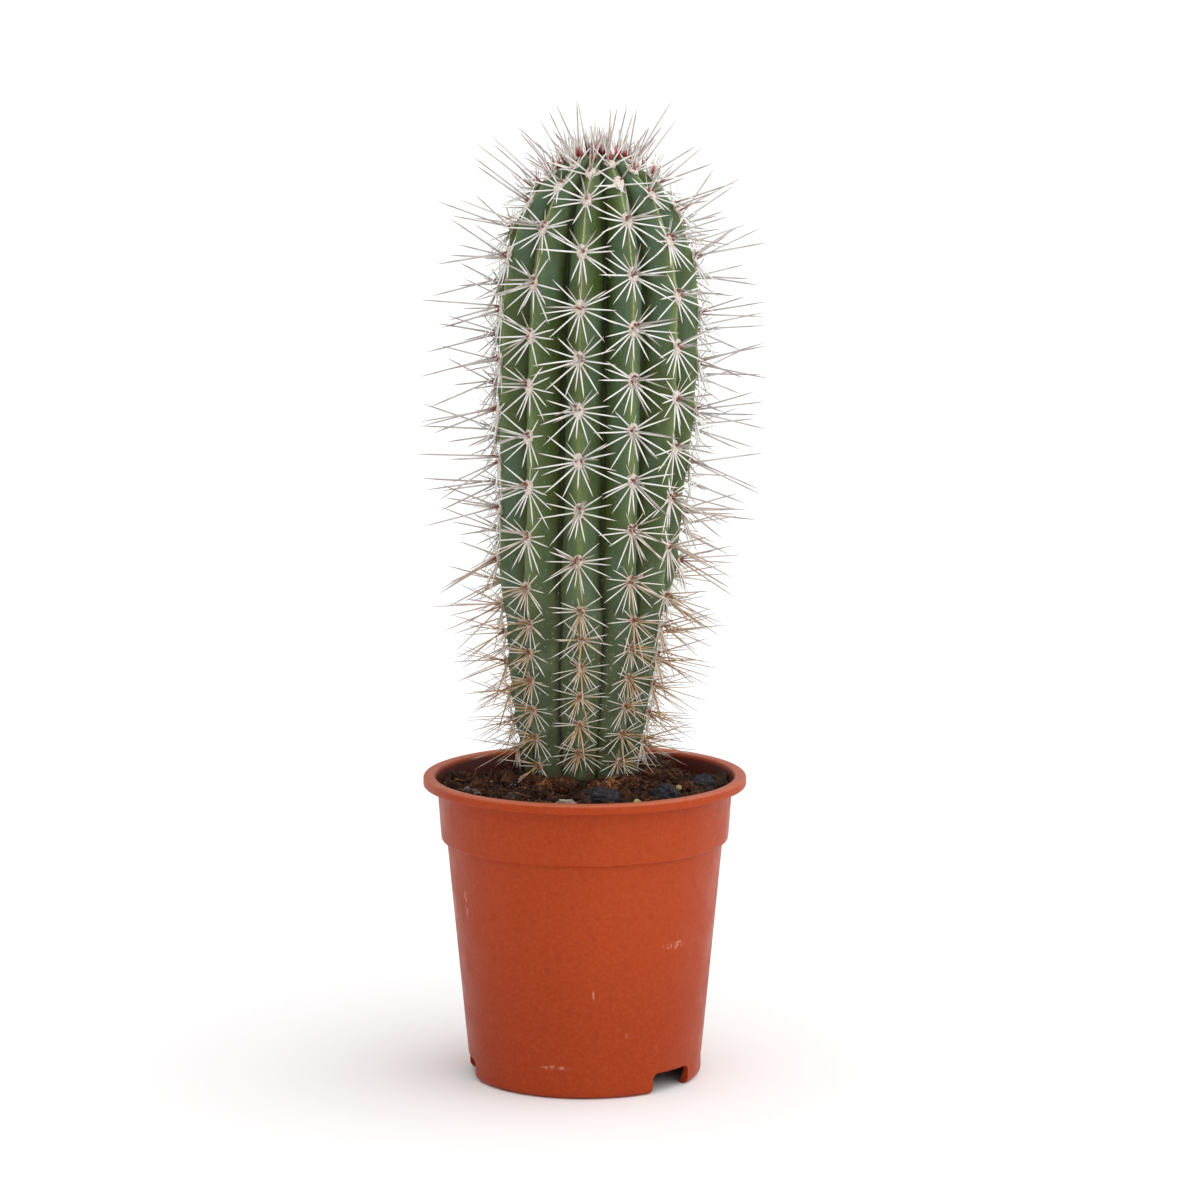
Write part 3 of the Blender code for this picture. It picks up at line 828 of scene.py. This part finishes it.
def scattered_places(dice, count, inner, outer):
    """Random places on the soil between two radii, clear of the stem."""
    for _ in range(count):
        reach = (inner ** 2 + (outer ** 2 - inner ** 2) * dice.random()) ** 0.5
        spot = around(dice.uniform(0, 360), reach)
        yield spot.x, spot.y


def grain_templates(dice, count, roughness):
    """A few small knobbly grains, one across."""
    made = []
    for seed in range(count):
        bm = globe(1)
        for vertex in bm.verts:
            shift = Vector((seed * 3.7, dice.random(), 0))
            vertex.co *= 1 + roughness * noise.noise(vertex.co * 4 + shift)
        made.append(mesh_of(bm, "grain_template"))
    return made


def random_turn(dice):
    about_z = Matrix.Rotation(dice.uniform(0, 2 * pi), 4, "Z")
    return about_z @ Matrix.Rotation(dice.uniform(0, pi), 4, "X")


def make_crumbs(name, count, smallest, largest, material, seed):
    """Loose crumbs lying on the soil, most of them small."""
    dice = random.Random(seed)
    templates = grain_templates(dice, 6, 0.7)
    bm = bmesh.new()
    for x, y in scattered_places(dice, count, *CRUMB_RANGE):
        size = smallest + (largest - smallest) * dice.random() ** 3
        if hypot(x, y) + size > CRUMB_RANGE[1] + 0.001:
            continue
        deep, high = size * dice.uniform(0.6, 1.0), size * dice.uniform(0.5, 0.9)
        template, at = dice.choice(templates), (x, y, soil_height(x, y) + size * 0.18)
        grow(bm, template, placed(at, random_turn(dice), size, deep, high))
    for template in templates:
        bpy.data.meshes.remove(template)
    return piece_from(name, bm, material, sharp=30)


def make_lumps(name, count, material, seed):
    """Bigger broken lumps, half sunk in the soil."""
    dice = random.Random(seed)
    bm = bmesh.new()
    for x, y in scattered_places(dice, count, *LUMP_RANGE):
        size = 0.0040 + 0.0085 * dice.random() ** 1.5
        if hypot(x, y) + size / 2 > 0.0750:
            continue
        one = globe(3)
        shift = Vector((dice.random() * 40, dice.random() * 40, 0))
        turn = random_turn(dice)
        deep, high = size * dice.uniform(0.6, 1.0), size * dice.uniform(0.45, 0.8)
        for vertex in one.verts:
            vertex.co *= 1 + 0.45 * layered_noise(vertex.co.normalized() + shift, 2.4, 4)
        at = (x, y, soil_height(x, y, False) + size * 0.05)
        bmesh.ops.transform(one, matrix=placed(at, turn, size, deep, high), verts=one.verts)
        add_mesh(bm, one)
    return piece_from(name, bm, material)


def strand(points, radius):
    """A thin tapering fibre along the points."""
    bm = bmesh.new()
    last = len(points) - 1
    ring = None
    for i, point in enumerate(points):
        ahead = points[min(i + 1, last)] - points[max(i - 1, 0)]
        turn = ahead.to_track_quat("Z", "Y").to_matrix().to_4x4()
        size = radius * (1 - 0.75 * abs(2 * i / last - 1) ** 2)
        made = bmesh.ops.create_circle(bm, segments=4, radius=size, cap_ends=i in (0, last),
                                       matrix=Matrix.Translation(point) @ turn)["verts"]
        edges = list({e for v in made for e in v.link_edges})
        if ring is not None:
            bmesh.ops.bridge_loops(bm, edges=ring + edges)
        ring = edges
    return bm


def fibre_path(dice, start, heading, length, wander, droop):
    """A wandering line that a fibre follows."""
    steps = 5
    points, at, way = [start], start.copy(), heading.normalized()
    for _ in range(steps):
        way = (way + drawn(dice, *[(-wander, wander)] * 3) - Vector((0, 0, droop))).normalized()
        at = at + way * length / steps
        points.append(at.copy())
    return points


def make_soil_fibres():
    """Thin roots and peat fibres lying on the soil."""
    dice = random.Random(41)
    joined = bmesh.new()
    for x, y in scattered_places(dice, 380, *FIBRE_RANGE):
        heading = drawn(dice, (-1, 1), (-1, 1), (0.0, 0.25))
        start = Vector((x, y, soil_height(x, y) + 0.0004))
        path = fibre_path(dice, start, heading, dice.uniform(0.004, 0.012), 0.45, 0.05)
        for point in path:
            reach = hypot(point.x, point.y)
            if reach > FIBRE_REACH:
                point.x *= FIBRE_REACH / reach
                point.y *= FIBRE_REACH / reach
            point.z = max(point.z, soil_height(point.x, point.y) + 0.0003)
        add_mesh(joined, strand(path, 0.00012 + 0.00042 * dice.random() ** 3))
    finish = fibrous("peat_fibre", (58, 32, 18), (112, 66, 36), (170, 116, 70), (1, 1, 1))
    piece_from("soil_fibres", joined, finish)


def make_soil():
    earth = peat()
    piece_from("soil_plug", moulded(460, 200, soil_place), earth, ["soil"])
    make_crumbs("soil_crumbs", 3200, 0.0009, 0.0036, earth, 5)
    make_lumps("soil_lumps", 150, earth, 6)
    pale = crumbly("pale_specks", (140, 112, 62), (186, 162, 104), (222, 206, 160), 900)
    made = make_crumbs("soil_specks", 110, 0.0007, 0.0019, pale, 9)
    make_soil_fibres()
    make_foot_tangles()


# ================================================================ loose pieces

FLAKE_LAYERS = 3
FLAKE_RAISED = 0.0014
FLAKE_DRAWN_IN = -0.03  # share of its place that a flake moves outward
FOOT_TANGLES = (  # angle and reach of the fibrous lumps round the foot of the stem
    (-74, 0.043), (-56, 0.047), (-40, 0.041), (-14, 0.044), (8, 0.046), (32, 0.043), (58, 0.041),
    (84, 0.046), (112, 0.044), (146, 0.043), (-100, 0.041), (-152, 0.044), (-66, 0.060), (66, 0.058),
)


def settled(name, swell=1.0):
    """The middle and the size of a loose piece, from its CAD node."""
    low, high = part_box(name)
    return (low + high) / 2, (high - low) * swell


def make_clod(name, material, seed, swell=1.0):
    """A rough clod with broken faces."""
    middle, size = settled(name, swell)
    bm = globe(5)
    shift = Vector((seed * 1.7, seed * 0.9, 0))
    for vertex in bm.verts:
        way = vertex.co.normalized()
        lumps = 0.16 * noise.noise(way * 1.6 + shift)
        broken = 0.10 * noise.cell(way * 2.6 + shift) - 0.05
        grain = 0.07 * layered_noise(way + shift, 7.0, 4)
        vertex.co = scaled(way * 0.5 * (0.97 + lumps + broken + grain), size) + middle
    piece_from(name + "_lump", bm, material, [name])


def make_flake(name, material, seed, turn):
    """A splintered chip of loose layers."""
    middle, size = settled(name)
    middle = middle + Vector((FLAKE_DRAWN_IN * middle.x, FLAKE_DRAWN_IN * middle.y, FLAKE_RAISED))
    length, depth = max(size.x, size.y), min(size.x, size.y)
    spin = Matrix.Rotation(radians(turn), 3, "Z")
    bm = bmesh.new()
    for layer in range(FLAKE_LAYERS):
        slab = bmesh.new()
        bmesh.ops.create_cube(slab, size=1.0)
        bmesh.ops.subdivide_edges(slab, edges=slab.edges, cuts=9, use_grid_fill=True)
        share = 1 - 0.18 * layer
        for vertex in slab.verts:
            x, y, z = vertex.co
            narrow = 1 - 0.55 * abs(2 * x) ** 2.2
            ragged = 1 + 0.22 * noise.noise(Vector((x * 6, seed + layer, z)))
            curl = 0.20 * (2 * x) ** 2 + 0.10 * noise.noise(Vector((x * 3, y * 4, seed)))
            spot = Vector((x * length * share * ragged, y * depth * narrow * ragged,
                           z * size.z * 0.30 + (curl + 0.26 * (layer - 1)) * size.z))
            vertex.co = spin @ spot + middle
        add_mesh(bm, slab)
    piece_from(name + "_chip", bm, material, [name], sharp=40)


def tangle(joined, middle, size, dice, strands):
    """Fibres round a crumbly heart."""
    seed = dice.random() * 40
    heart = bmesh.ops.create_icosphere(joined, subdivisions=4, radius=0.5)["verts"]
    for vertex in heart:
        way = vertex.co.normalized()
        swollen = 1 + 0.5 * layered_noise(way + Vector((seed, 0, 0)), 3.2, 4)
        vertex.co = scaled(way * 0.40 * swollen, size) + middle
    for _ in range(strands):
        way = Vector([dice.gauss(0, 1) for _ in range(3)]).normalized()
        start = middle + Vector((way.x * size.x, way.y * size.y, abs(way.z) * size.z)) * 0.26
        heading = drawn(dice, (-1, 1), (-1, 1), (-0.2, 0.7))
        path = fibre_path(dice, start, heading, dice.uniform(0.004, 0.008), 0.55, 0.08)
        add_mesh(joined, strand(path, dice.uniform(0.00014, 0.00036)))


def make_tuft(name, material, seed):
    """A tangle of dry fibres on its own."""
    middle, size = settled(name)
    joined = bmesh.new()
    tangle(joined, middle, size, random.Random(seed), 60)
    piece_from(name + "_tangle", joined, material, [name])


def make_foot_tangles():
    """Fibrous lumps of peat pressed round the foot of the stem."""
    dice = random.Random(57)
    joined = bmesh.new()
    for angle, reach in FOOT_TANGLES:
        spot = around(angle, reach)
        size = drawn(dice, (0.009, 0.014), (0.007, 0.011), (0.006, 0.010))
        middle = Vector((spot.x, spot.y, soil_height(spot.x, spot.y, False) + 0.18 * size.z))
        tangle(joined, middle, size, dice, 22)
    rusty = fibrous("rusty_peat", (34, 17, 10), (72, 41, 25), (128, 84, 56), (1, 1, 0.5))
    piece_from("foot_tangles", joined, rusty)


def make_loose_pieces():
    black = crumbly("dark_clod", (22, 20, 22), (50, 46, 50), (86, 80, 86), 480)
    brown = crumbly("brown_clod", (32, 26, 24), (72, 62, 58), (114, 102, 96), 480)
    for seed, name in enumerate(("clod_front", "clod_right_front", "clod_right"), 1):
        make_clod(name, black, seed, swell=1.18)
    for seed, name in enumerate(("clod_left_front", "clod_back_left", "clod_back_right"), 11):
        make_clod(name, brown, seed)
    pale = fibrous("pale_wood", (112, 94, 76), (172, 156, 136), (214, 204, 188), (0.3, 1, 1))
    grey = fibrous("grey_bark", (66, 60, 56), (112, 104, 98), (150, 144, 138), (1, 0.4, 1))
    make_flake("wood_flake_front", pale, 3, -6)
    make_flake("bark_flake_left", grey, 5, -62)
    make_flake("bark_flake_back", grey, 8, 10)
    coir = fibrous("coir", (74, 40, 22), (140, 86, 52), (200, 152, 108), (1, 1, 0.5))
    make_tuft("fibre_tuft_left", coir, 21)
    make_tuft("fibre_tuft_right", coir, 22)
    grit = crumbly("pale_grit", (150, 126, 74), (200, 180, 122), (232, 220, 178), 900)
    for seed, name in enumerate(("grit_grain_front", "grit_grain_right", "grit_grain_left"), 31):
        make_clod(name, grit, seed)


# ================================================================ stem and areoles

FOOT_SHARE = 0.05  # share of the moulding's rows that the buried foot takes
FELT_GROWS = (0.20, 0.33)  # runs between which the felt and the spread spines reach full size
FELT_DEPTH = 0.0013
LOWEST_AREOLE, HIGHEST_AREOLE = SOIL_AT_STEM + 0.004, STEM_RUN - 0.0130


def stem_place(turn, share):
    """A point of the stem and its layers: columns crowd at the crests, rows crowd in the crown."""
    spread = turn * RIBS
    crest = floor(spread + 0.5)
    off = spread - crest
    rib = crest + 0.5 * abs(2 * off) ** 1.35 * (1 if off > 0 else -1)
    if share < FOOT_SHARE:
        run = STEM_FOOT + (OUTLINE[0][0] - STEM_FOOT) * (share / FOOT_SHARE) ** 2
    else:
        part = (share - FOOT_SHARE) / (1 - FOOT_SHARE)
        run = OUTLINE[0][0] + (STEM_RUN - OUTLINE[0][0]) * part
    line = exp(-(off_crest(rib) / 0.022) ** 2) * smoothstep(0.370, 0.440, outline_point(run)[1])
    return stem_point(rib, run), (off_crest(rib), line)


def make_stem():
    bm = moulded(RIBS * STEM_COLUMNS_PER_RIB, STEM_ROWS, stem_place, ("groove", "felt_line"))
    piece_from("stem", bm, cactus_skin(), ["cactus"])


class Areole:
    """One areole: where it sits, its outward, upward and sideways directions, and half the width
    and height of its felt."""

    def __init__(self, rib, place, run):
        self.run = run
        self.at = stem_point(rib, run)
        self.axes = stem_axes(rib, run)
        self.turn = Matrix(self.axes[::-1]).transposed().to_4x4()
        pitch = areole_run(place + 0.5) - areole_run(place - 0.5)
        grown = smoothstep(*FELT_GROWS, run)
        self.wide = 0.0019 + 0.0009 * grown
        self.high = min(0.0026 + 0.0017 * grown, 0.30 * pitch)


def areoles():
    """Every areole, from the soil upward."""
    made = []
    for number in range(-1, AREOLES):
        for rib in range(RIBS):
            place = number + areole_phase(rib)
            run = areole_run(place)
            if LOWEST_AREOLE < run < HIGHEST_AREOLE:
                made.append(Areole(rib, place, run))
    return made


def make_areoles(spots):
    """Cushions of felt, a little broader at the top."""
    dice = random.Random(12)
    bm = bmesh.new()
    template = mesh_of(globe(3, 1.0), "areole_template")
    for areole in spots:
        place = placed(areole.at, areole.turn, areole.wide, areole.high, FELT_DEPTH)
        shift = Vector((dice.random() * 50, 0, 0))
        for vertex in grow(bm, template, Matrix.Identity(4)):
            vertex.co *= 1 + 0.30 * noise.noise(vertex.co * 2.2 + shift)
            vertex.co.x *= 1 + 0.28 * min(vertex.co.y, 0.4)
            vertex.co = place @ vertex.co
    bpy.data.meshes.remove(template)
    piece_from("areole_cushions", bm, areole_felt())


# ================================================================ spines

REACH_PAST_CAD = 0.0045  # how far a spine may pass the CAD box at the sides
RISE_PAST_CAD = 0.006  # and at the top
SHORTEST_SPINE = 0.003
RADIAL_FAN = (  # direction on the face of the areole in degrees, and share of full length
    (38, 0.82), (15, 0.94), (-4, 1.00), (-24, 1.05), (-46, 1.00), (-70, 0.76),
    (-92, 0.66), (-112, 0.78), (-134, 1.00), (-157, 1.05), (-178, 1.00), (162, 0.92), (140, 0.80),
)
SHORT_UPPER = ((60, 0.62), (120, 0.50), (90, 0.40))
CROWN_ROWS = (0.0300, 0.0220, 0.0150, 0.0080)  # distances from the growing point to young areoles
CROWN_TILT = 0.0125  # how far the growing point sits behind the top
CROWN_LONG = (  # lean from upright in degrees, left and right, and length
    (-22, 0.027), (-10, 0.025), (7, 0.021), (30, 0.033), (37, 0.028), (62, 0.033), (-48, 0.032),
    (-52, 0.034), (-30, 0.024), (18, 0.022), (50, 0.027), (-66, 0.031), (74, 0.030),
)
CROWN_LONG_SCALE = 1.13
UPRIGHT = Vector((0, 0, 0.8))  # how strongly the crown's spines turn upward


def spine_template(bend):
    """A spine one long and one in radius at its foot, standing on the origin, curved a little."""
    bm = bmesh.new()
    along = bm.verts.layers.float.new("along")
    bm.verts.layers.float.new("tone")
    bmesh.ops.create_cone(bm, cap_ends=True, cap_tris=True, segments=5, radius1=1.0, radius2=1.0,
                          depth=1.0, matrix=Matrix.Translation((0, 0, 0.5)))
    sides = [e for e in bm.edges if abs(e.verts[0].co.z - e.verts[1].co.z) > 0.5]
    bmesh.ops.subdivide_edges(bm, edges=sides, cuts=3, use_grid_fill=True)
    for vertex in bm.verts:
        share = vertex.co.z ** 0.75
        taper = 0.12 + 0.88 * (1 - share) ** 0.30
        vertex[along] = share
        vertex.co = Vector((vertex.co.x * taper, vertex.co.y * taper, share))
        vertex.co.x += bend * share ** 2 * 12
    return mesh_of(bm, "spine_template")


class SpineBed:
    """Gathers spines of one finish into one piece."""

    def __init__(self, seed):
        self.bm = bmesh.new()
        self.bm.verts.layers.float.new("along")
        self.tone = self.bm.verts.layers.float.new("tone")
        self.dice = random.Random(seed)
        self.templates = [spine_template(bend) for bend in (0.0, 0.06, 0.14)]

    def add(self, foot, direction, length, radius, tone):
        direction = direction.normalized()
        length = kept_inside(foot, direction, length)
        spun = Matrix.Rotation(self.dice.uniform(0, 2 * pi), 4, "Z")
        turn = direction.to_track_quat("Z", "Y").to_matrix().to_4x4() @ spun
        place = placed(foot, turn, radius, radius, length)
        grow(self.bm, self.dice.choice(self.templates), place, (self.tone,), (tone,))

    def finish(self, name, material):
        for template in self.templates:
            bpy.data.meshes.remove(template)
        piece_from(name, self.bm, material)


def kept_inside(foot, direction, length):
    """A spine's length, shortened where it would pass the plant's overall size or enter the
    soil."""
    while length > SHORTEST_SPINE:
        tip = foot + direction * length
        beside = (CAD_LOW.x - REACH_PAST_CAD < tip.x < CAD_HIGH.x + REACH_PAST_CAD
                  and CAD_LOW.y - REACH_PAST_CAD < tip.y < CAD_HIGH.y + REACH_PAST_CAD)
        above = tip.z > soil_height(tip.x, tip.y, False) + 0.0015
        if beside and above and tip.z < CAD_HIGH.z + RISE_PAST_CAD:
            break
        length *= 0.94
    return length


def grow_radials(bed, areole):
    """The spines that lie spread over the stem."""
    dice = bed.dice
    outward, upward, sideways = areole.axes
    wide, high = areole.wide, areole.high
    grown = smoothstep(*FELT_GROWS, areole.run)
    crown = smoothstep(0.456, 0.494, areole.run)
    full = 0.0138 + 0.0065 * grown - 0.0055 * crown
    for number, (clock, share) in enumerate(RADIAL_FAN + SHORT_UPPER):
        upper = number >= len(RADIAL_FAN)
        if dice.random() < (0.50 if upper else 0.06) + 0.55 * crown:
            continue
        turn = radians(clock + dice.uniform(-7, 7))
        across, up = cos(turn), sin(turn)
        lift = dice.uniform(0.12, 0.50) + 0.5 * crown
        direction = sideways * across + upward * up + outward * lift
        foot = (areole.at + sideways * across * wide * 0.72 + upward * up * high * 0.72
                + outward * 0.0002)
        length = full * share * dice.uniform(0.84, 1.14)
        radius = (0.00025 if upper else 0.00027 + 0.00022 * grown) * dice.uniform(0.88, 1.1)
        tone = 0.20 + 0.35 * dice.random() if upper else 0.07 * dice.random()
        bed.add(foot, direction, length, radius, tone)


def grow_centrals(bed, sockets, bead, areole):
    """The long spines that stand out from the stem, each from a brown socket in the felt."""
    dice = bed.dice
    outward, upward, sideways = areole.axes
    run = areole.run
    grown = smoothstep(0.19, 0.31, run)
    crown = smoothstep(0.445, 0.485, run)
    low_down = 1 - smoothstep(0.24, 0.33, run)
    spread = 0.42 + 0.20 * (1 - smoothstep(0.22, 0.32, run))
    size = (0.00056 + 0.00016 * grown, 0.00062 + 0.00020 * grown, 0.00080)
    for number in range(max(1, round(dice.choice((3, 4)) + 3 * low_down - 2 * crown))):
        up = dice.uniform(-1.15, 1.0) * spread
        across = dice.uniform(-1, 1) * spread
        direction = outward + upward * up + sideways * across
        reach = dice.choice((0.55, 0.7, 0.85, 1.0)) if number else 1.0
        length = (0.0300 + 0.0090 * grown - 0.012 * crown) * reach * dice.uniform(0.85, 1.08)
        foot = (areole.at + upward * dice.uniform(-0.1, 0.75) * areole.high
                + sideways * dice.uniform(-0.65, 0.65) * areole.wide + outward * 0.0006)
        radius = (0.00029 + 0.00025 * grown) * dice.uniform(0.88, 1.12)
        bed.add(foot, direction, length, radius, (0.22 + 0.26 * low_down) * dice.random() ** 1.5)
        grow(sockets, bead, placed(foot + outward * 0.0006, areole.turn, *size))
    if run < 0.300 and dice.random() < 0.75:
        direction = 0.42 * outward - upward + sideways * dice.uniform(-0.25, 0.25)
        bed.add(areole.at, direction, dice.uniform(0.017, 0.026), 0.00044, 0.0)


def crown_run(lean):
    """Where on the crown's outline the surface faces this many degrees from upright."""
    lean = radians(max(lean, 0.5))
    angle = atan2(CROWN_HEIGHT * cos(lean), OUTLINE[-1][1] * sin(lean))
    return CROWN_BASE + float(np.interp(angle, CROWN_ANGLES, CROWN_RUN))


def grow_crown(bed, buds):
    """The brush of young spines over the growing point, and a few long ones that stand out of it."""
    dice = bed.dice
    for below_top in CROWN_ROWS:
        for rib in range(RIBS):
            tilt = CROWN_TILT * cos(radians(FIRST_RIB + rib * 360 / RIBS))
            below = below_top * dice.uniform(0.88, 1.12) - tilt
            run = STEM_RUN - max(below, 0.003)
            outward, upward, sideways = stem_axes(rib, run)
            for _ in range(dice.choice((1, 2, 3, 4)) + 2 * (below_top < 0.02)):
                at = stem_point(rib + dice.uniform(-0.10, 0.10), run + dice.uniform(-0.0012, 0.0012))
                direction = (0.6 * outward + UPRIGHT + upward * dice.uniform(-0.35, 0.35)
                             + sideways * dice.uniform(-0.50, 0.50))
                length = 0.007 + 0.010 * dice.random() ** 1.3
                radius = 0.00044 * dice.uniform(0.8, 1.15)
                bed.add(at, direction, length, radius, 0.16 * dice.random())
            for _ in range(2):
                at = stem_point(rib + dice.uniform(-0.05, 0.05), run + dice.uniform(-0.0008, 0.0008))
                direction = 0.7 * outward + UPRIGHT + sideways * dice.uniform(-0.35, 0.35)
                buds.add(at, direction, dice.uniform(0.0040, 0.0070), 0.00080, 0.4 * dice.random())
    for lean, length in CROWN_LONG:
        side = 90 if lean > 0 else -90
        rib = round((side + dice.uniform(-30, 30) - FIRST_RIB) * RIBS / 360)
        at = stem_point(rib, crown_run(abs(lean)))
        direction = Vector((sin(radians(lean)), dice.uniform(-0.3, 0.3), cos(radians(lean))))
        bed.add(at, direction, CROWN_LONG_SCALE * length, 0.00052, 0.25 + 0.3 * dice.random())


def make_spines(spots):
    radials, centrals, crown, buds = [SpineBed(seed) for seed in (71, 72, 73, 74)]
    sockets, bead = bmesh.new(), mesh_of(globe(1, 1.0), "bead")
    for areole in spots:
        grow_radials(radials, areole)
        grow_centrals(centrals, sockets, bead, areole)
    bpy.data.meshes.remove(bead)
    grow_crown(crown, buds)
    radials.finish("radial_spines", spine_finish(
        "radial_spine", (240, 232, 226), (252, 250, 248), (232, 218, 208), (236, 222, 204),
        (182, 136, 88)))
    centrals.finish("central_spines", spine_finish(
        "central_spine", (150, 84, 68), (204, 196, 191), (120, 92, 84), (206, 166, 116),
        (138, 102, 84), shaft_end=0.60))
    crown.finish("crown_spines", spine_finish(
        "crown_spine", (176, 52, 62), (236, 232, 226), (186, 172, 162), (214, 196, 170),
        (150, 130, 116), 0.10, 0.36))
    buds.finish("young_spines", spine_finish(
        "young_spine", (172, 50, 60), (214, 128, 122), (226, 190, 176), (214, 196, 170),
        (120, 40, 40), 0.45, 0.80, 0.85))
    horn = crumbly("spine_socket", (140, 74, 56), (172, 106, 84), (202, 146, 122), 900)
    piece_from("spine_sockets", sockets, horn)


# ================================================================ setting

FLOOR_SIZE = 60.0
FLOOR_GREY = 0.96
SKY_STRENGTH = 0.54
LAMPS = (  # name, strength, spread in degrees, and the way it shines
    ("key", 1.65, 105, (-1.75, 1.15, -2.3)),
    ("overhead", 0.75, 120, (-0.3, 0.2, -3.0)),
)
CAMERA_PLACE = (0.008, -2.4, 0.629)
CAMERA_DIP = 8.9  # degrees below level
SENSOR_WIDTH, LENS_LENGTH = 36.0, 139.2


def make_floor():
    bm = bmesh.new()
    bmesh.ops.create_grid(bm, x_segments=1, y_segments=1, size=FLOOR_SIZE)
    sheet = put_in_scene("floor", mesh_of(bm, "floor"))
    paper = bpy.data.materials.new("pale_floor")
    paper.use_nodes = True
    shader = paper.node_tree.nodes["Principled BSDF"]
    shader.inputs["Base Color"].default_value = (FLOOR_GREY, FLOOR_GREY, FLOOR_GREY, 1)
    shader.inputs["Roughness"].default_value = 0.9
    sheet.data.materials.append(paper)


def make_light():
    world = bpy.data.worlds.new("studio")
    world.use_nodes = True
    sky = world.node_tree.nodes["Background"]
    sky.inputs["Color"].default_value = (1.0, 1.0, 1.0, 1)
    sky.inputs["Strength"].default_value = SKY_STRENGTH
    bpy.context.scene.world = world
    for name, strength, spread, shining in LAMPS:
        lamp = bpy.data.lights.new(name, "SUN")
        lamp.energy = strength
        lamp.angle = radians(spread)
        holder = put_in_scene(name, lamp)
        holder.rotation_euler = Vector(shining).to_track_quat("-Z", "Y").to_euler()


def make_camera():
    lens = bpy.data.cameras.new("camera")
    lens.sensor_width = SENSOR_WIDTH
    lens.lens = LENS_LENGTH
    lens.clip_end = 200.0
    holder = put_in_scene("camera", lens)
    holder.location = CAMERA_PLACE
    holder.rotation_euler = (radians(90 - CAMERA_DIP), 0, 0)
    bpy.context.scene.camera = holder


def main():
    bpy.context.scene.view_settings.view_transform = "Standard"
    make_camera()
    make_light()
    make_floor()
    make_pot()
    make_soil()
    make_loose_pieces()
    make_stem()
    spots = areoles()
    make_areoles(spots)
    make_spines(spots)


main()
